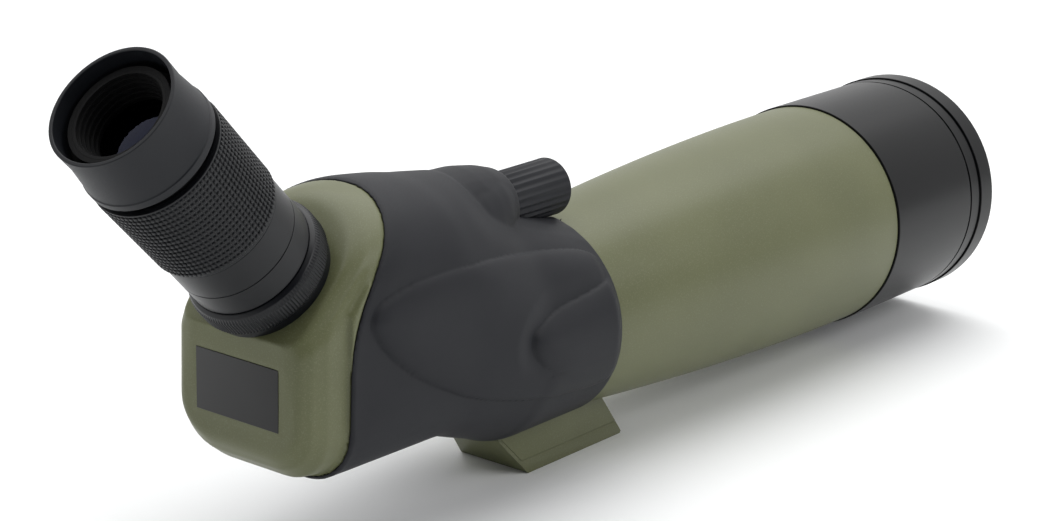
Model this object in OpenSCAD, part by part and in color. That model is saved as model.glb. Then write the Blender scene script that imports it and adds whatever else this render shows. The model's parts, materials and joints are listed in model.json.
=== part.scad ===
// Angled spotting scope, 80 mm aperture, 45 degree zoom eyepiece, on its own foot.
// +X points forward along the objective's axis, +Z is up, millimetres.
// The origin is the mouth of the tripod thread, in the middle of the foot's underside.

/* [Optical layout] */
// Clear aperture of the objective
aperture = 80; // [60:1:84]
// Height of the objective's axis over the foot's underside
axis_h = 53; // [50:0.5:62]
// Where the eyepiece's axis meets the objective's axis, measured back from the thread
eye_back = 105.8; // [100:0.5:115]
// Angle between the eyepiece's axis and the objective's axis
eye_angle = 45; // [40:1:50]

/* [Sunshade] */
// Front edge of the sunshade, measured forward from the thread
shade_front = 255.5; // [250:0.5:300]
// Length of the sunshade
shade_len = 77.6; // [70:0.2:85]
// Radial room for the felt ring between the barrel's guide and the sunshade
felt_room = 0.86; // [0.6:0.02:1.2]
// Wall of the sunshade
shade_wall = 1.9; // [1.2:0.1:2.1]
// How far the sunshade pulls forward
shade_travel = 42; // [10:1:44]
// How far the front band stands proud of the sunshade
shade_band = 0.6; // [0.2:0.1:1.5]
// Width of the front band
shade_band_w = 9.6; // [5:0.2:16]
// Distance between the two grooves behind the front band
groove_pitch = 7.4; // [4:0.2:12]
// Width of each groove
groove_w = 1.1; // [0.5:0.1:2]
// Depth of each groove
groove_d = 0.5; // [0.2:0.1:0.8]

/* [Barrel] */
// Outer radius of the barrel at its rear shoulder
barrel_rear_r = 36.9; // [36:0.1:40]
// How far the barrel stands out over its guide, behind the sunshade
barrel_step = 2.06; // [1.9:0.02:2.4]
// How fast the barrel's taper flattens towards the front
barrel_curve = 1.8; // [1:0.1:3]
// Wall of the barrel
barrel_wall = 2.2; // [1.5:0.1:2.6]
// Wall of the barrel's guide under the sunshade
guide_wall = 2; // [1.6:0.1:2.2]
// Radius of the spigot that enters the body
spigot_r = 33; // [31:0.2:33.6]
// Length of the spigot
spigot_len = 12; // [8:0.5:16]
// Number of baffle rings in the barrel
baffle_count = 3; // [1:1:5]

/* [Objective] */
// Bearing width of the lenses outside the clear aperture
lens_rim = 1.3; // [1:0.1:1.6]
// Edge thickness of the crown lens
crown_edge = 5.5; // [4:0.5:7]
// Edge thickness of the flint lens
flint_edge = 6; // [5:0.5:8]
// Depth of the curves that face each other
inner_sag = 2.7; // [1.5:0.1:3]
// Depth of the front curve
front_sag = 2.4; // [1.5:0.1:3]
// Thickness of the ring between the lenses
spacer_t = 0.6; // [0.4:0.1:1.5]
// Wall of the objective's cell
cell_wall = 1.2; // [1:0.1:1.4]
// Length of the retaining ring
retainer_len = 4; // [2:0.5:5]

/* [Body] */
// Radius of the body shell at its front
body_r = 36.4; // [36:0.1:38]
// Wall of the body castings
body_wall = 2.5; // [2:0.1:3]
// Front face of the body shell, measured back from the thread
body_front = 5; // [3:0.5:8]
// Rear face of the body, measured back from the thread
body_rear = 167; // [160:0.5:175]
// Half width of the body at the prism
body_half_w = 32; // [30:0.5:34]
// Half width of the body at its rear end
rear_half_w = 31; // [29:0.5:32]
// Half width of the flat rear face
face_half_w = 25.5; // [24:0.5:27]
// Height of the body's underside behind the foot
belly_z = 33.5; // [32:0.5:36]
// Height of the body's top over the prism
roof_z = 123; // [120:0.5:127]
// Radius of the body's lower corners
belly_r = 19; // [12:0.5:22]
// Thickness of the rubber armour
armour_t = 1.8; // [1.2:0.1:2.4]
// How far the rubber overlaps the seam between the castings
seam_lap = 4; // [2:0.5:6]

/* [Eyepiece seat] */
// Distance of the seat along the eyepiece's axis
seat_s = 66.5; // [64:0.5:70]
// Radius of the seat's arched top
seat_r = 26; // [24:0.5:28]
// Width of the sloping shoulder round the seat
shoulder = 8.5; // [5:0.5:12]
// Radius of the eyepiece's spigot
eye_spigot_r = 17.5; // [16:0.1:18.5]

/* [Label plate] */
// Half width of the blank plate
label_half_w = 18.4; // [10:0.2:20]
// Height of the blank plate
label_h = 21.8; // [10:0.2:24]
// Thickness of the blank plate
label_t = 1; // [0.6:0.1:1.5]

/* [Foot] */
// Length of the foot's underside
foot_len = 58.6; // [54:0.2:64]
// Width of the foot's underside
foot_w = 32; // [28:0.5:36]
// Width of the foot at its top
foot_top_w = 24; // [22:0.5:26]
// Height at which the foot's ends stop leaning
foot_h = 15; // [14:0.5:18]
// How far the rear end leans back
rear_lean = 13.6; // [6:0.2:14]
// How far the front end leans back
front_lean = 8.2; // [4:0.2:12]
// Thickness of the mounting plate
plate_t = 5; // [4:0.5:6]
// Thickness of the mounting plate's rear wall
plate_wall = 2; // [1.5:0.1:3]

/* [Tripod bush] */
// Radius of the tapped hole of the 1/4-20 tripod thread
thread_r = 2.55; // [2.5:0.05:2.7]
// Depth of the tapped hole
thread_depth = 9; // [6:0.5:9]
// Outer radius of the bush
bush_r = 6; // [5:0.2:6.4]

/* [Focus drive] */
// Radius of the focus knob
knob_r = 10.8; // [9:0.1:11]
// Length of the focus knob
knob_len = 36; // [28:0.5:36]
// Height of the knob's axis over the objective's axis
knob_up = 48.4; // [48.4:0.1:50]
// Number of flutes on the knob
flutes = 24; // [16:1:32]
// Rear end of the knob, measured back from the thread
knob_back = 37.4; // [37:0.1:39]
// Radius of the focus shaft
shaft_r = 3; // [2.5:0.1:3.5]
// Radius of the shaft's rear journal
journal_r = 2; // [1.5:0.1:2.2]
// Travel of the focusing lens each way
focus_travel = 6; // [3:0.5:6]
// Radius of the guide rods
rod_r = 2; // [1.5:0.1:2.5]
// Distance of each guide rod from the axis
rod_y = 25.5; // [25:0.5:27]
// Radius of the focusing lens
focus_lens_r = 17; // [14:0.5:17.5]

/* [Prism] */
// Half width of the prism
prism_half_w = 15; // [13:0.5:16]
// Entry face of the prism, measured back from the thread
prism_back = 96; // [95:0.5:98]
// Distance of the exit face along the eyepiece's axis
prism_exit = 26; // [24:0.5:28]
// Thickness of the cage's plates
cage_t = 2.5; // [2:0.1:3]

/* [Eyepiece] */
// Radius of the eyepiece's lower barrel
eye_barrel_r = 22.2; // [22:0.1:23]
// Radius of the knurled lock collar
collar_r = 24.4; // [23.6:0.1:26]
// Length of the lock collar
collar_len = 10; // [8:0.5:10.5]
// Number of knurls on the lock collar
knurls = 48; // [32:4:64]
// Radius of the zoom grip at its lower end
grip_r0 = 23.1; // [23:0.1:24]
// Radius of the zoom grip at its upper end
grip_r1 = 23.6; // [23:0.1:24.5]
// Length of the zoom grip
grip_len = 37; // [34:0.5:37.5]
// Turn of the zoom ring each way from its middle
zoom_turn = 75; // [45:1:78]
// Travel of the rear zoom cell each way
rear_travel = 5; // [3:0.5:5]
// Travel of the front zoom cell each way
front_travel = 3.5; // [2:0.5:4]

/* [Eyecup] */
// Outer radius of the eyecup's base
cup_r0 = 23.3; // [23:0.1:24.5]
// Outer radius of the eyecup's rim
cup_r1 = 22; // [22:0.1:24]
// Height of the eyecup
cup_len = 22.4; // [19:0.2:26]
// Wall of the eyecup
cup_wall = 1.4; // [1:0.1:1.8]
// How far the eyecup twists out
cup_travel = 8; // [4:0.5:9]

/* [Clearances] */
// Radial play of a running fit
run_gap = 0.05; // [0.02:0.01:0.09]
// Gap between pieces that move past each other
free_gap = 0.35; // [0.3:0.05:0.5]
// Play of a piece that is fastened in its seat
seat_gap = 0.02; // [0.01:0.01:0.05]

/* [Hidden] */
$fn = 64;
HULL_FN = 32;
SLICE = 0.1;
CUT = 1;
BIG = 400;

OLIVE = "#6E7058";
SATIN_BLACK = "#26282B";
RUBBER = "#38393B";
STEEL = "#A8ABAE";
BRASS = "#B08D4A";
GLASS = "#9FC4CF";
ALUMINIUM = "#8B8F93";
SEAL_BLACK = "#151516";

// Objective end
shell_front = -body_front;
shade_rear = shade_front - shade_len;
barrel_front = shade_rear - free_gap;
lens_r = aperture / 2 + lens_rim;
cell_bore = lens_r + seat_gap;
cell_r = cell_bore + cell_wall;
guide_bore = cell_r + seat_gap;
guide_r = guide_bore + guide_wall;
barrel_front_r = guide_r + barrel_step;
shade_bore = guide_r + felt_room;
shade_r = shade_bore + shade_wall;
lip_bore = guide_r + free_gap;
lip_len = 5;
felt_w = 5;
felt_depth = 1;
felt_x = shade_rear + shade_travel + lip_len + 1;
guide_tip = 7;
guide_end = felt_x + felt_w + guide_tip;
seal_t = 0.8;
flange_t = 2;
flange_inset = 0.3;
cell_span = 29;
cell_rear = guide_end - cell_span;
cell_stop = 1.6;
cell_step = 2;
flint_x = cell_rear + cell_step;
spacer_x = flint_x + flint_edge;
spacer_w = 0.9;
crown_x = spacer_x + spacer_t + dome(lens_r, inner_sag, lens_r - spacer_w);
retainer_x = crown_x + crown_edge;
lens_relief = 0.2;
baffle_gap = 0.15;
baffle_rear_r = 16;
baffle_front_r = aperture / 2 - 2;
baffle_t = 1.2;
bore_flare = 1.5;
spigot_wall = 2.4;
ring_depth = 1;
barrel_seal_w = 2.2;
barrel_seal_x = shell_front - 7;
barrel_steps = 12;
barrel_xs = [
  for (i = [0 : barrel_steps]) shell_front + (barrel_front - shell_front) * i / barrel_steps
];

// Body
shell_rear = -body_rear;
wedge_x = shell_rear + 19;
wedge_s = seat_s - shoulder;
seam_x = wedge_x + seam_lap;
seam_s = wedge_s - seam_lap;
prism_x = -90;
block_x = prism_x - 14;
neck_x = -46;
throat_r = spigot_r + seat_gap;
throat_wall = 2.2;
throat_len = spigot_len + 1;
bulkhead_x = shell_front - throat_len - 3;
bulkhead_t = 3;
light_r = rod_y - rod_r - 2;
knob_z = axis_h + knob_up;
knob_gap = 0.5;
channel_r = knob_r + knob_gap;
trough_r = channel_r + 1.2;
pod_x = -knob_back - knob_gap;
pod_bore_r = 7;
pod_bore_x = pod_x - 11;
pod_bore_len = 34;
pod_profile = [[0, 11.8], [7, 13.8], [18, 15.6], [32, 16], [48, 12.4], [54, 6]];

// Seat
seat_t0 = 6;
seat_low = -21.5;
seat_corner = 6;
arch_r = rear_half_w;
arch_t0 = 11.5;
face_top = 84;
face_low = 46;
label_sink = label_t * 0.6;

// Foot
foot_x0 = -foot_len / 2;
foot_x1 = foot_len / 2;
screw_r = 1.5;
head_r = 2.8;
head_t = 2;
foot_screw_x = [-23, -9];
foot_screw_y = 9;
foot_boss_top = 26;
saddle_top = 22;
foot_screw_top = axis_h - sqrt(throat_r * throat_r - foot_screw_y * foot_screw_y) - 0.4;
bush_flange_r = bush_r + 2;
bush_flange_t = 1.6;
bush_len = thread_depth + 1;
plate_gap = 0.1;

// Focus drive
bush_outer_r = shaft_r + 2;
bush_front = pod_x - 0.4;
pocket_r = shaft_r + 1.3;
pocket_len = 2.4;
clip_t = 1;
clip_x = pod_bore_x - 2.4;
shaft_front = -knob_back + 24;
journal_x = -prism_back + 12;
shaft_rear = -prism_back - 3;
carriage_len = 10;
carriage_x = clip_x - focus_travel - free_gap - carriage_len;
ear_r = rod_r + 2.2;
nut_r = shaft_r + 2.2;
nut_len = 9;
lens_lip = 1.5;
cap_r = 7.2;
cap_sink = 1.8;
knob_screw_r = 1.3;

// Prism
cage_x = -prism_back + seat_gap;
apex_z = axis_h + prism_exit / cos(eye_angle) + (eye_back - prism_back) * tan(eye_angle);
prism_low = 40;
leg = apex_z - prism_low;
tip_cut = 14;
cage_bore = 17;
cheek_len = 42;
boss_r = 3.6;
boss_web = 8;
cage_screw_y = body_half_w - body_wall - 2.5;
cage_screw_z = [62, 90];
cage_screw_len = 11;
cage_boss_len = 12;
cage_boss_r = 4.2;
cage_low_z = 36.8;
cage_low_r = 16.2;
cage_high_z = 90;
cage_high_r = 6;
cage_half_w = cage_screw_y + 2;
housing_screw_y = rear_half_w - body_wall - 3;
housing_screw_z = [52, 84];
housing_boss_len = 9;
housing_screw_len = 12;

// Eyepiece
tube_r = 15;
tube_bore = 13;
tube_low = 60;
eye_spigot_len = 9.5;
eye_seal_s = seat_s - 5;
eye_seal_w = 2;
flange_r = 22.8;
base_flange_t = 3;
collar_s = seat_s + base_flange_t + free_gap;
neck_r = 18.8;
lower_s = collar_s + collar_len + free_gap;
lower_len = 22.4;
grip_s = lower_s + lower_len + free_gap;
sleeve_r = 21.6;
cam_r = 18.2;
upper_s = grip_s + grip_len + free_gap;
upper_flange_t = 2.1;
upper_flange_r = 21;
cup_s = upper_s + upper_flange_t + free_gap;
post_r = 17.9;
post_bore = 16.4;
lift_s = 1;
lift_len = 7;
post_top = cup_s + lift_s + lift_len + cup_travel + 2;
eye_lens_r = 14.2;
eye_lens_s = upper_s + 6;
eye_lens_edge = 3.2;
lift_r = post_r + run_gap;
lift_wall = 1.2;
cup_sleeve_r = lift_r + lift_wall + run_gap;
cup_sleeve_wall = 1.5;
cup_bore = cup_sleeve_r + cup_sleeve_wall;
cup_sleeve_len = 12;
cell_len = 9;
cell_play_r = tube_bore - run_gap;
zoom_lens_r = 10.5;
pin_r = 1.3;
slot_r = 1.8;
slot_step = 6;
rear_cell_s = grip_s + 10;
front_cell_s = grip_s + 28;
field_s = tube_low + 3;

// ---- placing ----

// Turns a shape built along z so that it lies along +x from x on the objective's axis
module along_x(x, z = axis_h, y = 0) {
  translate([x, y, z]) rotate([0, 90, 0]) children();
}

// Puts a shape built along z on the eyepiece's axis, at distance s
module on_eye(s = 0) {
  translate([-eye_back, 0, axis_h]) rotate([0, -eye_angle, 0]) translate([0, 0, s]) children();
}

// Tube along z from z = 0
module tube(r, bore, len) {
  difference() {
    cylinder(r = r, h = len);
    translate([0, 0, -CUT]) cylinder(r = bore, h = len + 2 * CUT);
  }
}

// Copies its children to the +y and the -y side
module both_sides() {
  for (side = [-1, 1]) scale([1, side, 1]) children();
}

// ---- lenses ----

// Height of a spherical surface of the given sag, at distance y from its axis, over its rim of radius r
function dome(r, sag, y) =
  let (ball = (r * r + sag * sag) / (2 * max(abs(sag), 0.01)))
  sign(sag) * (sqrt(ball * ball - y * y) - sqrt(ball * ball - r * r));

// Lens with its edge from z = 0 to edge; a positive sag bulges out, a negative one is hollow
module lens(r, edge, front, back) {
  steps = 10;
  radii = [for (i = [0 : steps]) r * i / steps];
  rise = [for (i = [steps : -1 : 0]) [radii[i], edge + dome(r, front, radii[i])]];
  fall = [for (y = radii) [y, -dome(r, back, y)]];
  rotate_extrude($fn = 96) polygon(concat(rise, fall));
}

// ---- sunshade and barrel ----

module dew_shield() {
  band_x = shade_len - shade_band_w;
  soft = 0.5;
  color(SATIN_BLACK) along_x(shade_rear) rotate_extrude($fn = 128) polygon([
    [lip_bore, 0], [shade_r - soft, 0], [shade_r, soft],
    [shade_r, band_x - groove_pitch - groove_w], [shade_r - groove_d, band_x - groove_pitch - groove_w],
    [shade_r - groove_d, band_x - groove_pitch], [shade_r, band_x - groove_pitch],
    [shade_r, band_x - groove_w], [shade_r - groove_d, band_x - groove_w],
    [shade_r - groove_d, band_x], [shade_r + shade_band, band_x],
    [shade_r + shade_band, shade_len - 2 * soft], [shade_r + shade_band - soft, shade_len],
    [shade_bore + soft, shade_len], [shade_bore, shade_len - soft],
    [shade_bore, lip_len], [lip_bore, lip_len]
  ]);
}

module shade_felt_ring() {
  color("#1B1B1C") along_x(felt_x) tube(shade_bore - run_gap, guide_r - felt_depth, felt_w);
}

// Outer radius of the barrel at x
function barrel_r(x) =
  let (u = (x - shell_front) / (barrel_front - shell_front))
  barrel_rear_r + (barrel_front_r - barrel_rear_r) * (1 - pow(max(0, 1 - u), barrel_curve));

// Inner radius of the barrel at x; the wall thickens towards the front
function bore_r(x) =
  barrel_r(x) - barrel_wall - bore_flare * (x - shell_front) / (barrel_front - shell_front);

module barrel() {
  outer = [for (x = barrel_xs) [barrel_r(x), x]];
  inner = [for (i = [barrel_steps : -1 : 0]) [bore_r(barrel_xs[i]), barrel_xs[i]]];
  color(OLIVE) difference() {
    along_x(0) rotate_extrude($fn = 128) polygon(concat(
      [[spigot_r - spigot_wall, shell_front - spigot_len], [spigot_r, shell_front - spigot_len],
       [spigot_r, shell_front]],
      outer,
      [[guide_r, barrel_front], [guide_r, guide_end], [guide_bore, guide_end],
       [guide_bore, cell_rear], [guide_bore - cell_stop, cell_rear]],
      inner,
      [[spigot_r - spigot_wall, shell_front]]
    ));
    along_x(felt_x) tube(guide_r + CUT, guide_r - felt_depth, felt_w);
    along_x(barrel_seal_x) tube(spigot_r + CUT, spigot_r - ring_depth, barrel_seal_w);
  }
}

module barrel_seal() {
  color(SEAL_BLACK) along_x(barrel_seal_x) tube(spigot_r, spigot_r - ring_depth, barrel_seal_w);
}

module barrel_baffles() {
  color("#1A1A1B") for (i = [1 : baffle_count]) {
    share = i / (baffle_count + 1);
    x = shell_front + (cell_rear - shell_front) * share;
    along_x(x) tube(
      bore_r(x) - baffle_gap, baffle_rear_r + (baffle_front_r - baffle_rear_r) * share, baffle_t
    );
  }
}

// ---- objective ----

module objective_cell() {
  color(SATIN_BLACK) {
    along_x(cell_rear) tube(cell_r, cell_bore, guide_end + seal_t - cell_rear);
    along_x(cell_rear) tube(cell_r, aperture / 2, cell_step);
    along_x(guide_end + seal_t) tube(guide_r - flange_inset, cell_bore, flange_t);
  }
}

module objective_seal() {
  color(SEAL_BLACK) along_x(guide_end) tube(guide_r - flange_inset, cell_r + 0.1, seal_t);
}

module flint_lens() {
  color(GLASS) along_x(flint_x) lens(lens_r, flint_edge, -inner_sag, 0);
}

module lens_spacer() {
  color(ALUMINIUM) along_x(spacer_x) tube(lens_r, lens_r - spacer_w, spacer_t);
}

module crown_lens() {
  color(GLASS) along_x(crown_x) lens(lens_r, crown_edge, front_sag, inner_sag);
}

module lens_retaining_ring() {
  color(SATIN_BLACK) along_x(retainer_x + lens_relief) tube(lens_r, aperture / 2 + 0.2, retainer_len);
}

// ---- body form ----

// Thin disc across the body, at x, centred at height z and offset y
module disc(x, y, z, r) {
  translate([x, y, z]) rotate([0, 90, 0]) cylinder(r = r, h = SLICE, center = true, $fn = HULL_FN);
}

// Four discs that round the corners of one cross section
module section(x, half_w, low, high, low_r, high_r, grow) {
  for (side = [-1, 1]) {
    disc(x, side * (half_w - low_r), low + low_r, low_r + grow);
    disc(x, side * (half_w - high_r), high - high_r, high_r + grow);
  }
}

// Cross section over the prism, where the rear block and the neck meet
module prism_section(grow) {
  section(prism_x, body_half_w + 0.5, belly_z, roof_z - 2, belly_r, body_half_w - 1, grow);
}

// Cross section above the rear end of the foot
module neck_section(grow) {
  disc(neck_x, 0, axis_h, body_r + grow);
  disc(neck_x, 0, axis_h + 21, body_r - 8.5 + grow);
}

// Rear block that holds the prism, ending in the rear face and the seat
module rear_block(grow) {
  hull() {
    prism_section(grow);
    section(block_x, body_half_w, belly_z, roof_z, belly_r, body_half_w - 1, grow);
    section(wedge_x, rear_half_w, belly_z, 98, belly_r, 8, grow);
    section(shell_rear + 10, rear_half_w - 0.4, belly_z + 1.5, 92, belly_r - 1, 7, grow);
    section(shell_rear + 4, rear_half_w - 2, belly_z + 6, 88, belly_r - 3, 6, grow);
    section(shell_rear + 1, rear_half_w - 4, belly_z + 10, 85.5, belly_r - 5, 5, grow);
    section(shell_rear - grow, face_half_w, face_low, face_top, 11, 4, grow);
    on_eye(wedge_s) seat_outline(arch_r, arch_t0, -4, grow);
    on_eye(wedge_s + shoulder * 0.55) seat_outline(arch_r - 1.1, arch_t0 - 1.6, -12, grow);
    on_eye(seat_s - 1.2) seat_outline(seat_r + 1.6, seat_t0 + 1, -18, grow);
    on_eye(seat_s + grow) seat_outline(seat_r, seat_t0, seat_low, grow);
  }
}

// Arched outline of the seat: a wide disc on top and a small one in each lower corner
module seat_outline(r, top, low, grow) {
  corner = seat_corner + grow;
  translate([top, 0, -SLICE]) cylinder(r = r + grow, h = SLICE, $fn = 48);
  for (side = [-1, 1]) translate([low + seat_corner, side * (r - seat_corner), -SLICE])
    cylinder(r = corner, h = SLICE, $fn = HULL_FN);
}

// Neck from the rear block down to the barrel
module neck(grow) {
  hull() {
    prism_section(grow);
    neck_section(grow);
  }
  hull() {
    neck_section(grow);
    disc(shell_front, 0, axis_h, body_r + grow);
  }
}

// Rounded pod on top, which carries the focus shaft
module pod(grow) {
  hull() {
    disc(pod_x + grow, 0, knob_z, pod_profile[0][1] + grow * 0.6);
    for (p = pod_profile) disc(pod_x - p[0], 0, knob_z, p[1] + grow);
  }
}

// Everything in front of the seam: ahead of x and below the plane at s
module ahead_of(x, s) {
  intersection() {
    translate([x, -BIG / 2, -BIG / 2]) cube([BIG, BIG, BIG]);
    on_eye(s) translate([-BIG / 2, -BIG / 2, -BIG]) cube([BIG, BIG, BIG]);
  }
}

// Space along the knob, of radius r
module knob_channel(r) {
  along_x(pod_x, knob_z) cylinder(r = r, h = BIG / 4);
}

// Copies of a shape along x at each height of a four-screw pattern, mirrored to both sides
module four(y, zs) {
  both_sides() for (z = zs) translate([0, y, z]) rotate([0, 90, 0]) children();
}

// Screw boss from x, with a web that carries it out to the side wall
module boss(x, r, len) {
  translate([0, 0, x]) cylinder(r = r, h = len);
  translate([-r, 0, x]) cube([2 * r, boss_web, len]);
}

// ---- castings ----

module body_shell() {
  color(OLIVE) difference() {
    union() {
      difference() {
        union() {
          rear_block(0);
          neck(0);
          pod(0);
        }
        difference() {
          union() {
            rear_block(-body_wall);
            neck(-body_wall);
          }
          along_x(pod_x - 14, knob_z) cylinder(r = trough_r + body_wall, h = BIG / 8);
          four(cage_screw_y, cage_screw_z) boss(cage_x + cage_t, cage_boss_r, cage_boss_len);
          four(housing_screw_y, housing_screw_z) boss(seam_x, boss_r, housing_boss_len);
          for (x = foot_screw_x) both_sides() translate([x, foot_screw_y, 0])
            cylinder(r = boss_r, h = foot_boss_top);
        }
      }
      along_x(shell_front - throat_len) tube(throat_r + throat_wall, throat_r, throat_len);
      along_x(bulkhead_x) cylinder(r = body_r - 1, h = bulkhead_t);
    }
    difference() {
      translate([-BIG / 2, -BIG / 2, -BIG / 2]) cube([BIG, BIG, BIG]);
      ahead_of(seam_x, seam_s);
    }
    along_x(shell_front - SLICE / 4) cylinder(r = body_r + 10, h = 50);
    along_x(shell_front - throat_len) cylinder(r = throat_r, h = throat_len + CUT);
    along_x(bulkhead_x - CUT) cylinder(r = light_r, h = bulkhead_t + 2 * CUT);
    knob_channel(trough_r);
    along_x(pod_bore_x - pod_bore_len, knob_z) cylinder(r = pod_bore_r, h = pod_bore_len);
    along_x(pod_bore_x - CUT, knob_z) cylinder(r = bush_outer_r + seat_gap, h = 14);
    both_sides() along_x(bulkhead_x - CUT, axis_h, rod_y)
      cylinder(r = rod_r + seat_gap, h = bulkhead_t + 2 * CUT);
    four(cage_screw_y, cage_screw_z) translate([0, 0, cage_x]) cylinder(r = screw_r, h = cage_screw_len);
    four(housing_screw_y, housing_screw_z) translate([0, 0, seam_x - CUT])
      cylinder(r = screw_r + seat_gap, h = 12);
    for (x = foot_screw_x) both_sides() translate([x, foot_screw_y, 0])
      cylinder(r = screw_r, h = foot_screw_top + 2);
  }
}

module rear_housing() {
  color(OLIVE) difference() {
    rear_block(0);
    difference() {
      rear_block(-body_wall);
      four(housing_screw_y, housing_screw_z) boss(shell_rear - 5, boss_r, 40);
      on_eye(seat_s - 9) cylinder(r = eye_spigot_r + 3, h = 10);
    }
    ahead_of(seam_x, seam_s);
    on_eye(seat_s - 10) cylinder(r = eye_spigot_r + seat_gap, h = 20);
    four(housing_screw_y, housing_screw_z) translate([0, 0, seam_x - housing_screw_len - CUT])
      cylinder(r = screw_r, h = 20);
    label_block(seat_gap, label_sink, CUT);
  }
}

// Block of the label plate: grow widens it, depth sinks it and out stands it off the face
module label_block(grow, depth, out) {
  z0 = (face_top + face_low) / 2 - label_h / 2;
  translate([shell_rear - out, -label_half_w - grow, z0 - grow])
    cube([depth + out, 2 * (label_half_w + grow), label_h + 2 * grow]);
}

module label_plate() {
  color("#1E1F22") label_block(0, label_sink, label_t - label_sink);
}

module housing_screws() {
  color(STEEL) four(housing_screw_y, housing_screw_z) {
    translate([0, 0, seam_x - housing_screw_len])
      cylinder(r = screw_r, h = housing_screw_len + housing_boss_len);
    translate([0, 0, seam_x + housing_boss_len]) cylinder(r = head_r, h = head_t);
  }
}

module rubber_armour() {
  color(RUBBER) difference() {
    intersection() {
      union() {
        rear_block(armour_t);
        neck(armour_t);
        pod(armour_t);
      }
      ahead_of(wedge_x, wedge_s);
    }
    difference() {
      union() {
        rear_block(0);
        neck(0);
        pod(0);
      }
      knob_channel(trough_r);
    }
    knob_channel(channel_r);
    along_x(shell_front - SLICE / 4) cylinder(r = body_r + 10, h = 20);
    foot_form(free_gap, BIG / 8);
  }
}

// ---- foot ----

// Leaning block of the foot with sloping sides, widened by grow and running up to top
module foot_form(grow, top) {
  lean = top / foot_h;
  inset = (foot_w - foot_top_w) / 2;
  intersection() {
    rotate([90, 0, 0]) linear_extrude(foot_w * 2, center = true) polygon([
      [foot_x0 - grow, 0], [foot_x1 + grow, 0], [foot_x1 - front_lean + grow, foot_h],
      [foot_x1 - front_lean + grow, top], [foot_x0 - rear_lean - grow, top],
      [foot_x0 - rear_lean - grow, foot_h]
    ]);
    rotate([90, 0, 90]) linear_extrude(foot_len * 3, center = true) polygon([
      [-foot_w / 2 - grow, 0], [foot_w / 2 + grow, 0], [foot_top_w / 2 + grow, foot_h],
      [foot_top_w / 2 + grow, top], [-foot_top_w / 2 - grow, top], [-foot_top_w / 2 - grow, foot_h]
    ]);
  }
}

// Side view of the mounting plate: the flat plate with its leaning rear wall, thicker by gap inside
module plate_profile(gap = 0) {
  slope = rear_lean / foot_h;
  chamfer = 1.2;
  polygon([
    [foot_x0, 0], [foot_x1 - chamfer, 0], [foot_x1 + CUT, chamfer + CUT], [foot_x1 + CUT, plate_t + gap],
    [foot_x0 - plate_t * slope + plate_wall + gap, plate_t + gap],
    [foot_x0 - rear_lean + plate_wall + gap, foot_h + gap], [foot_x0 - rear_lean - CUT, foot_h + gap],
    [foot_x0 - CUT, 0]
  ]);
}

module mounting_plate() {
  color(OLIVE) difference() {
    intersection() {
      foot_form(0, foot_h);
      rotate([90, 0, 0]) linear_extrude(foot_w * 2, center = true) plate_profile();
    }
    translate([0, 0, -CUT]) cylinder(r = bush_r + seat_gap, h = plate_t + 2 * CUT);
    for (x = foot_screw_x) both_sides() translate([x, foot_screw_y, -CUT]) {
      cylinder(r = screw_r + seat_gap, h = plate_t + 2 * CUT);
      cylinder(r = head_r + 0.2, h = head_t + 0.5 + CUT);
    }
  }
}

module foot_saddle() {
  color(OLIVE) difference() {
    foot_form(0, saddle_top);
    rotate([90, 0, 0]) linear_extrude(foot_w * 2, center = true) plate_profile(plate_gap);
    translate([foot_x0 - rear_lean - 2, -foot_w, -CUT])
      cube([foot_len + 40, 2 * foot_w, plate_t + CUT + plate_gap]);
    along_x(-60) cylinder(r = body_r, h = 60 + shell_front);
    along_x(0) rotate_extrude($fn = 128) polygon([
      [0, shell_front], for (x = barrel_xs) [barrel_r(x) + seat_gap, x], [0, barrel_front]
    ]);
    cylinder(r = bush_flange_r + seat_gap, h = plate_t + bush_flange_t + 0.2);
    cylinder(r = bush_r + seat_gap, h = bush_len + 0.2);
    for (x = foot_screw_x) both_sides() translate([x, foot_screw_y, 0])
      cylinder(r = screw_r + seat_gap, h = 30);
  }
}

module tripod_bush() {
  color(BRASS) difference() {
    union() {
      cylinder(r = bush_r, h = bush_len);
      translate([0, 0, plate_t + plate_gap]) cylinder(r = bush_flange_r, h = bush_flange_t);
    }
    translate([0, 0, -CUT]) cylinder(r = thread_r, h = thread_depth + CUT);
  }
}

module foot_screws() {
  color(STEEL) for (x = foot_screw_x) both_sides() translate([x, foot_screw_y, 0.5]) {
    cylinder(r = head_r, h = head_t);
    cylinder(r = screw_r, h = foot_screw_top - 0.5);
  }
}

// ---- focus drive ----

module guide_rods() {
  color(STEEL) both_sides() along_x(cage_x - 1, axis_h, rod_y)
    cylinder(r = rod_r, h = bulkhead_x + bulkhead_t - cage_x + 1);
}

module focus_carriage() {
  ring_r = focus_lens_r + 3;
  color(SATIN_BLACK) difference() {
    union() {
      along_x(carriage_x) cylinder(r = ring_r, h = carriage_len);
      both_sides() along_x(carriage_x - 2, axis_h, rod_y) cylinder(r = ear_r, h = carriage_len + 4);
      translate([carriage_x + 3, -rod_y, axis_h - 3]) cube([4, 2 * rod_y, 6]);
      translate([carriage_x + 3, -4, axis_h]) cube([4, 8, knob_up]);
      along_x(carriage_x, knob_z) cylinder(r = nut_r, h = nut_len);
    }
    along_x(carriage_x + 2) cylinder(r = focus_lens_r + seat_gap, h = carriage_len);
    along_x(carriage_x - CUT) cylinder(r = focus_lens_r - lens_lip, h = carriage_len);
    both_sides() along_x(carriage_x - 5, axis_h, rod_y)
      cylinder(r = rod_r + run_gap, h = carriage_len + 10);
    along_x(carriage_x - CUT, knob_z) cylinder(r = shaft_r + run_gap, h = nut_len + 2 * CUT);
  }
}

module focusing_lens() {
  color(GLASS) along_x(carriage_x + 2) lens(focus_lens_r, 4, -1, -1);
}

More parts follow.
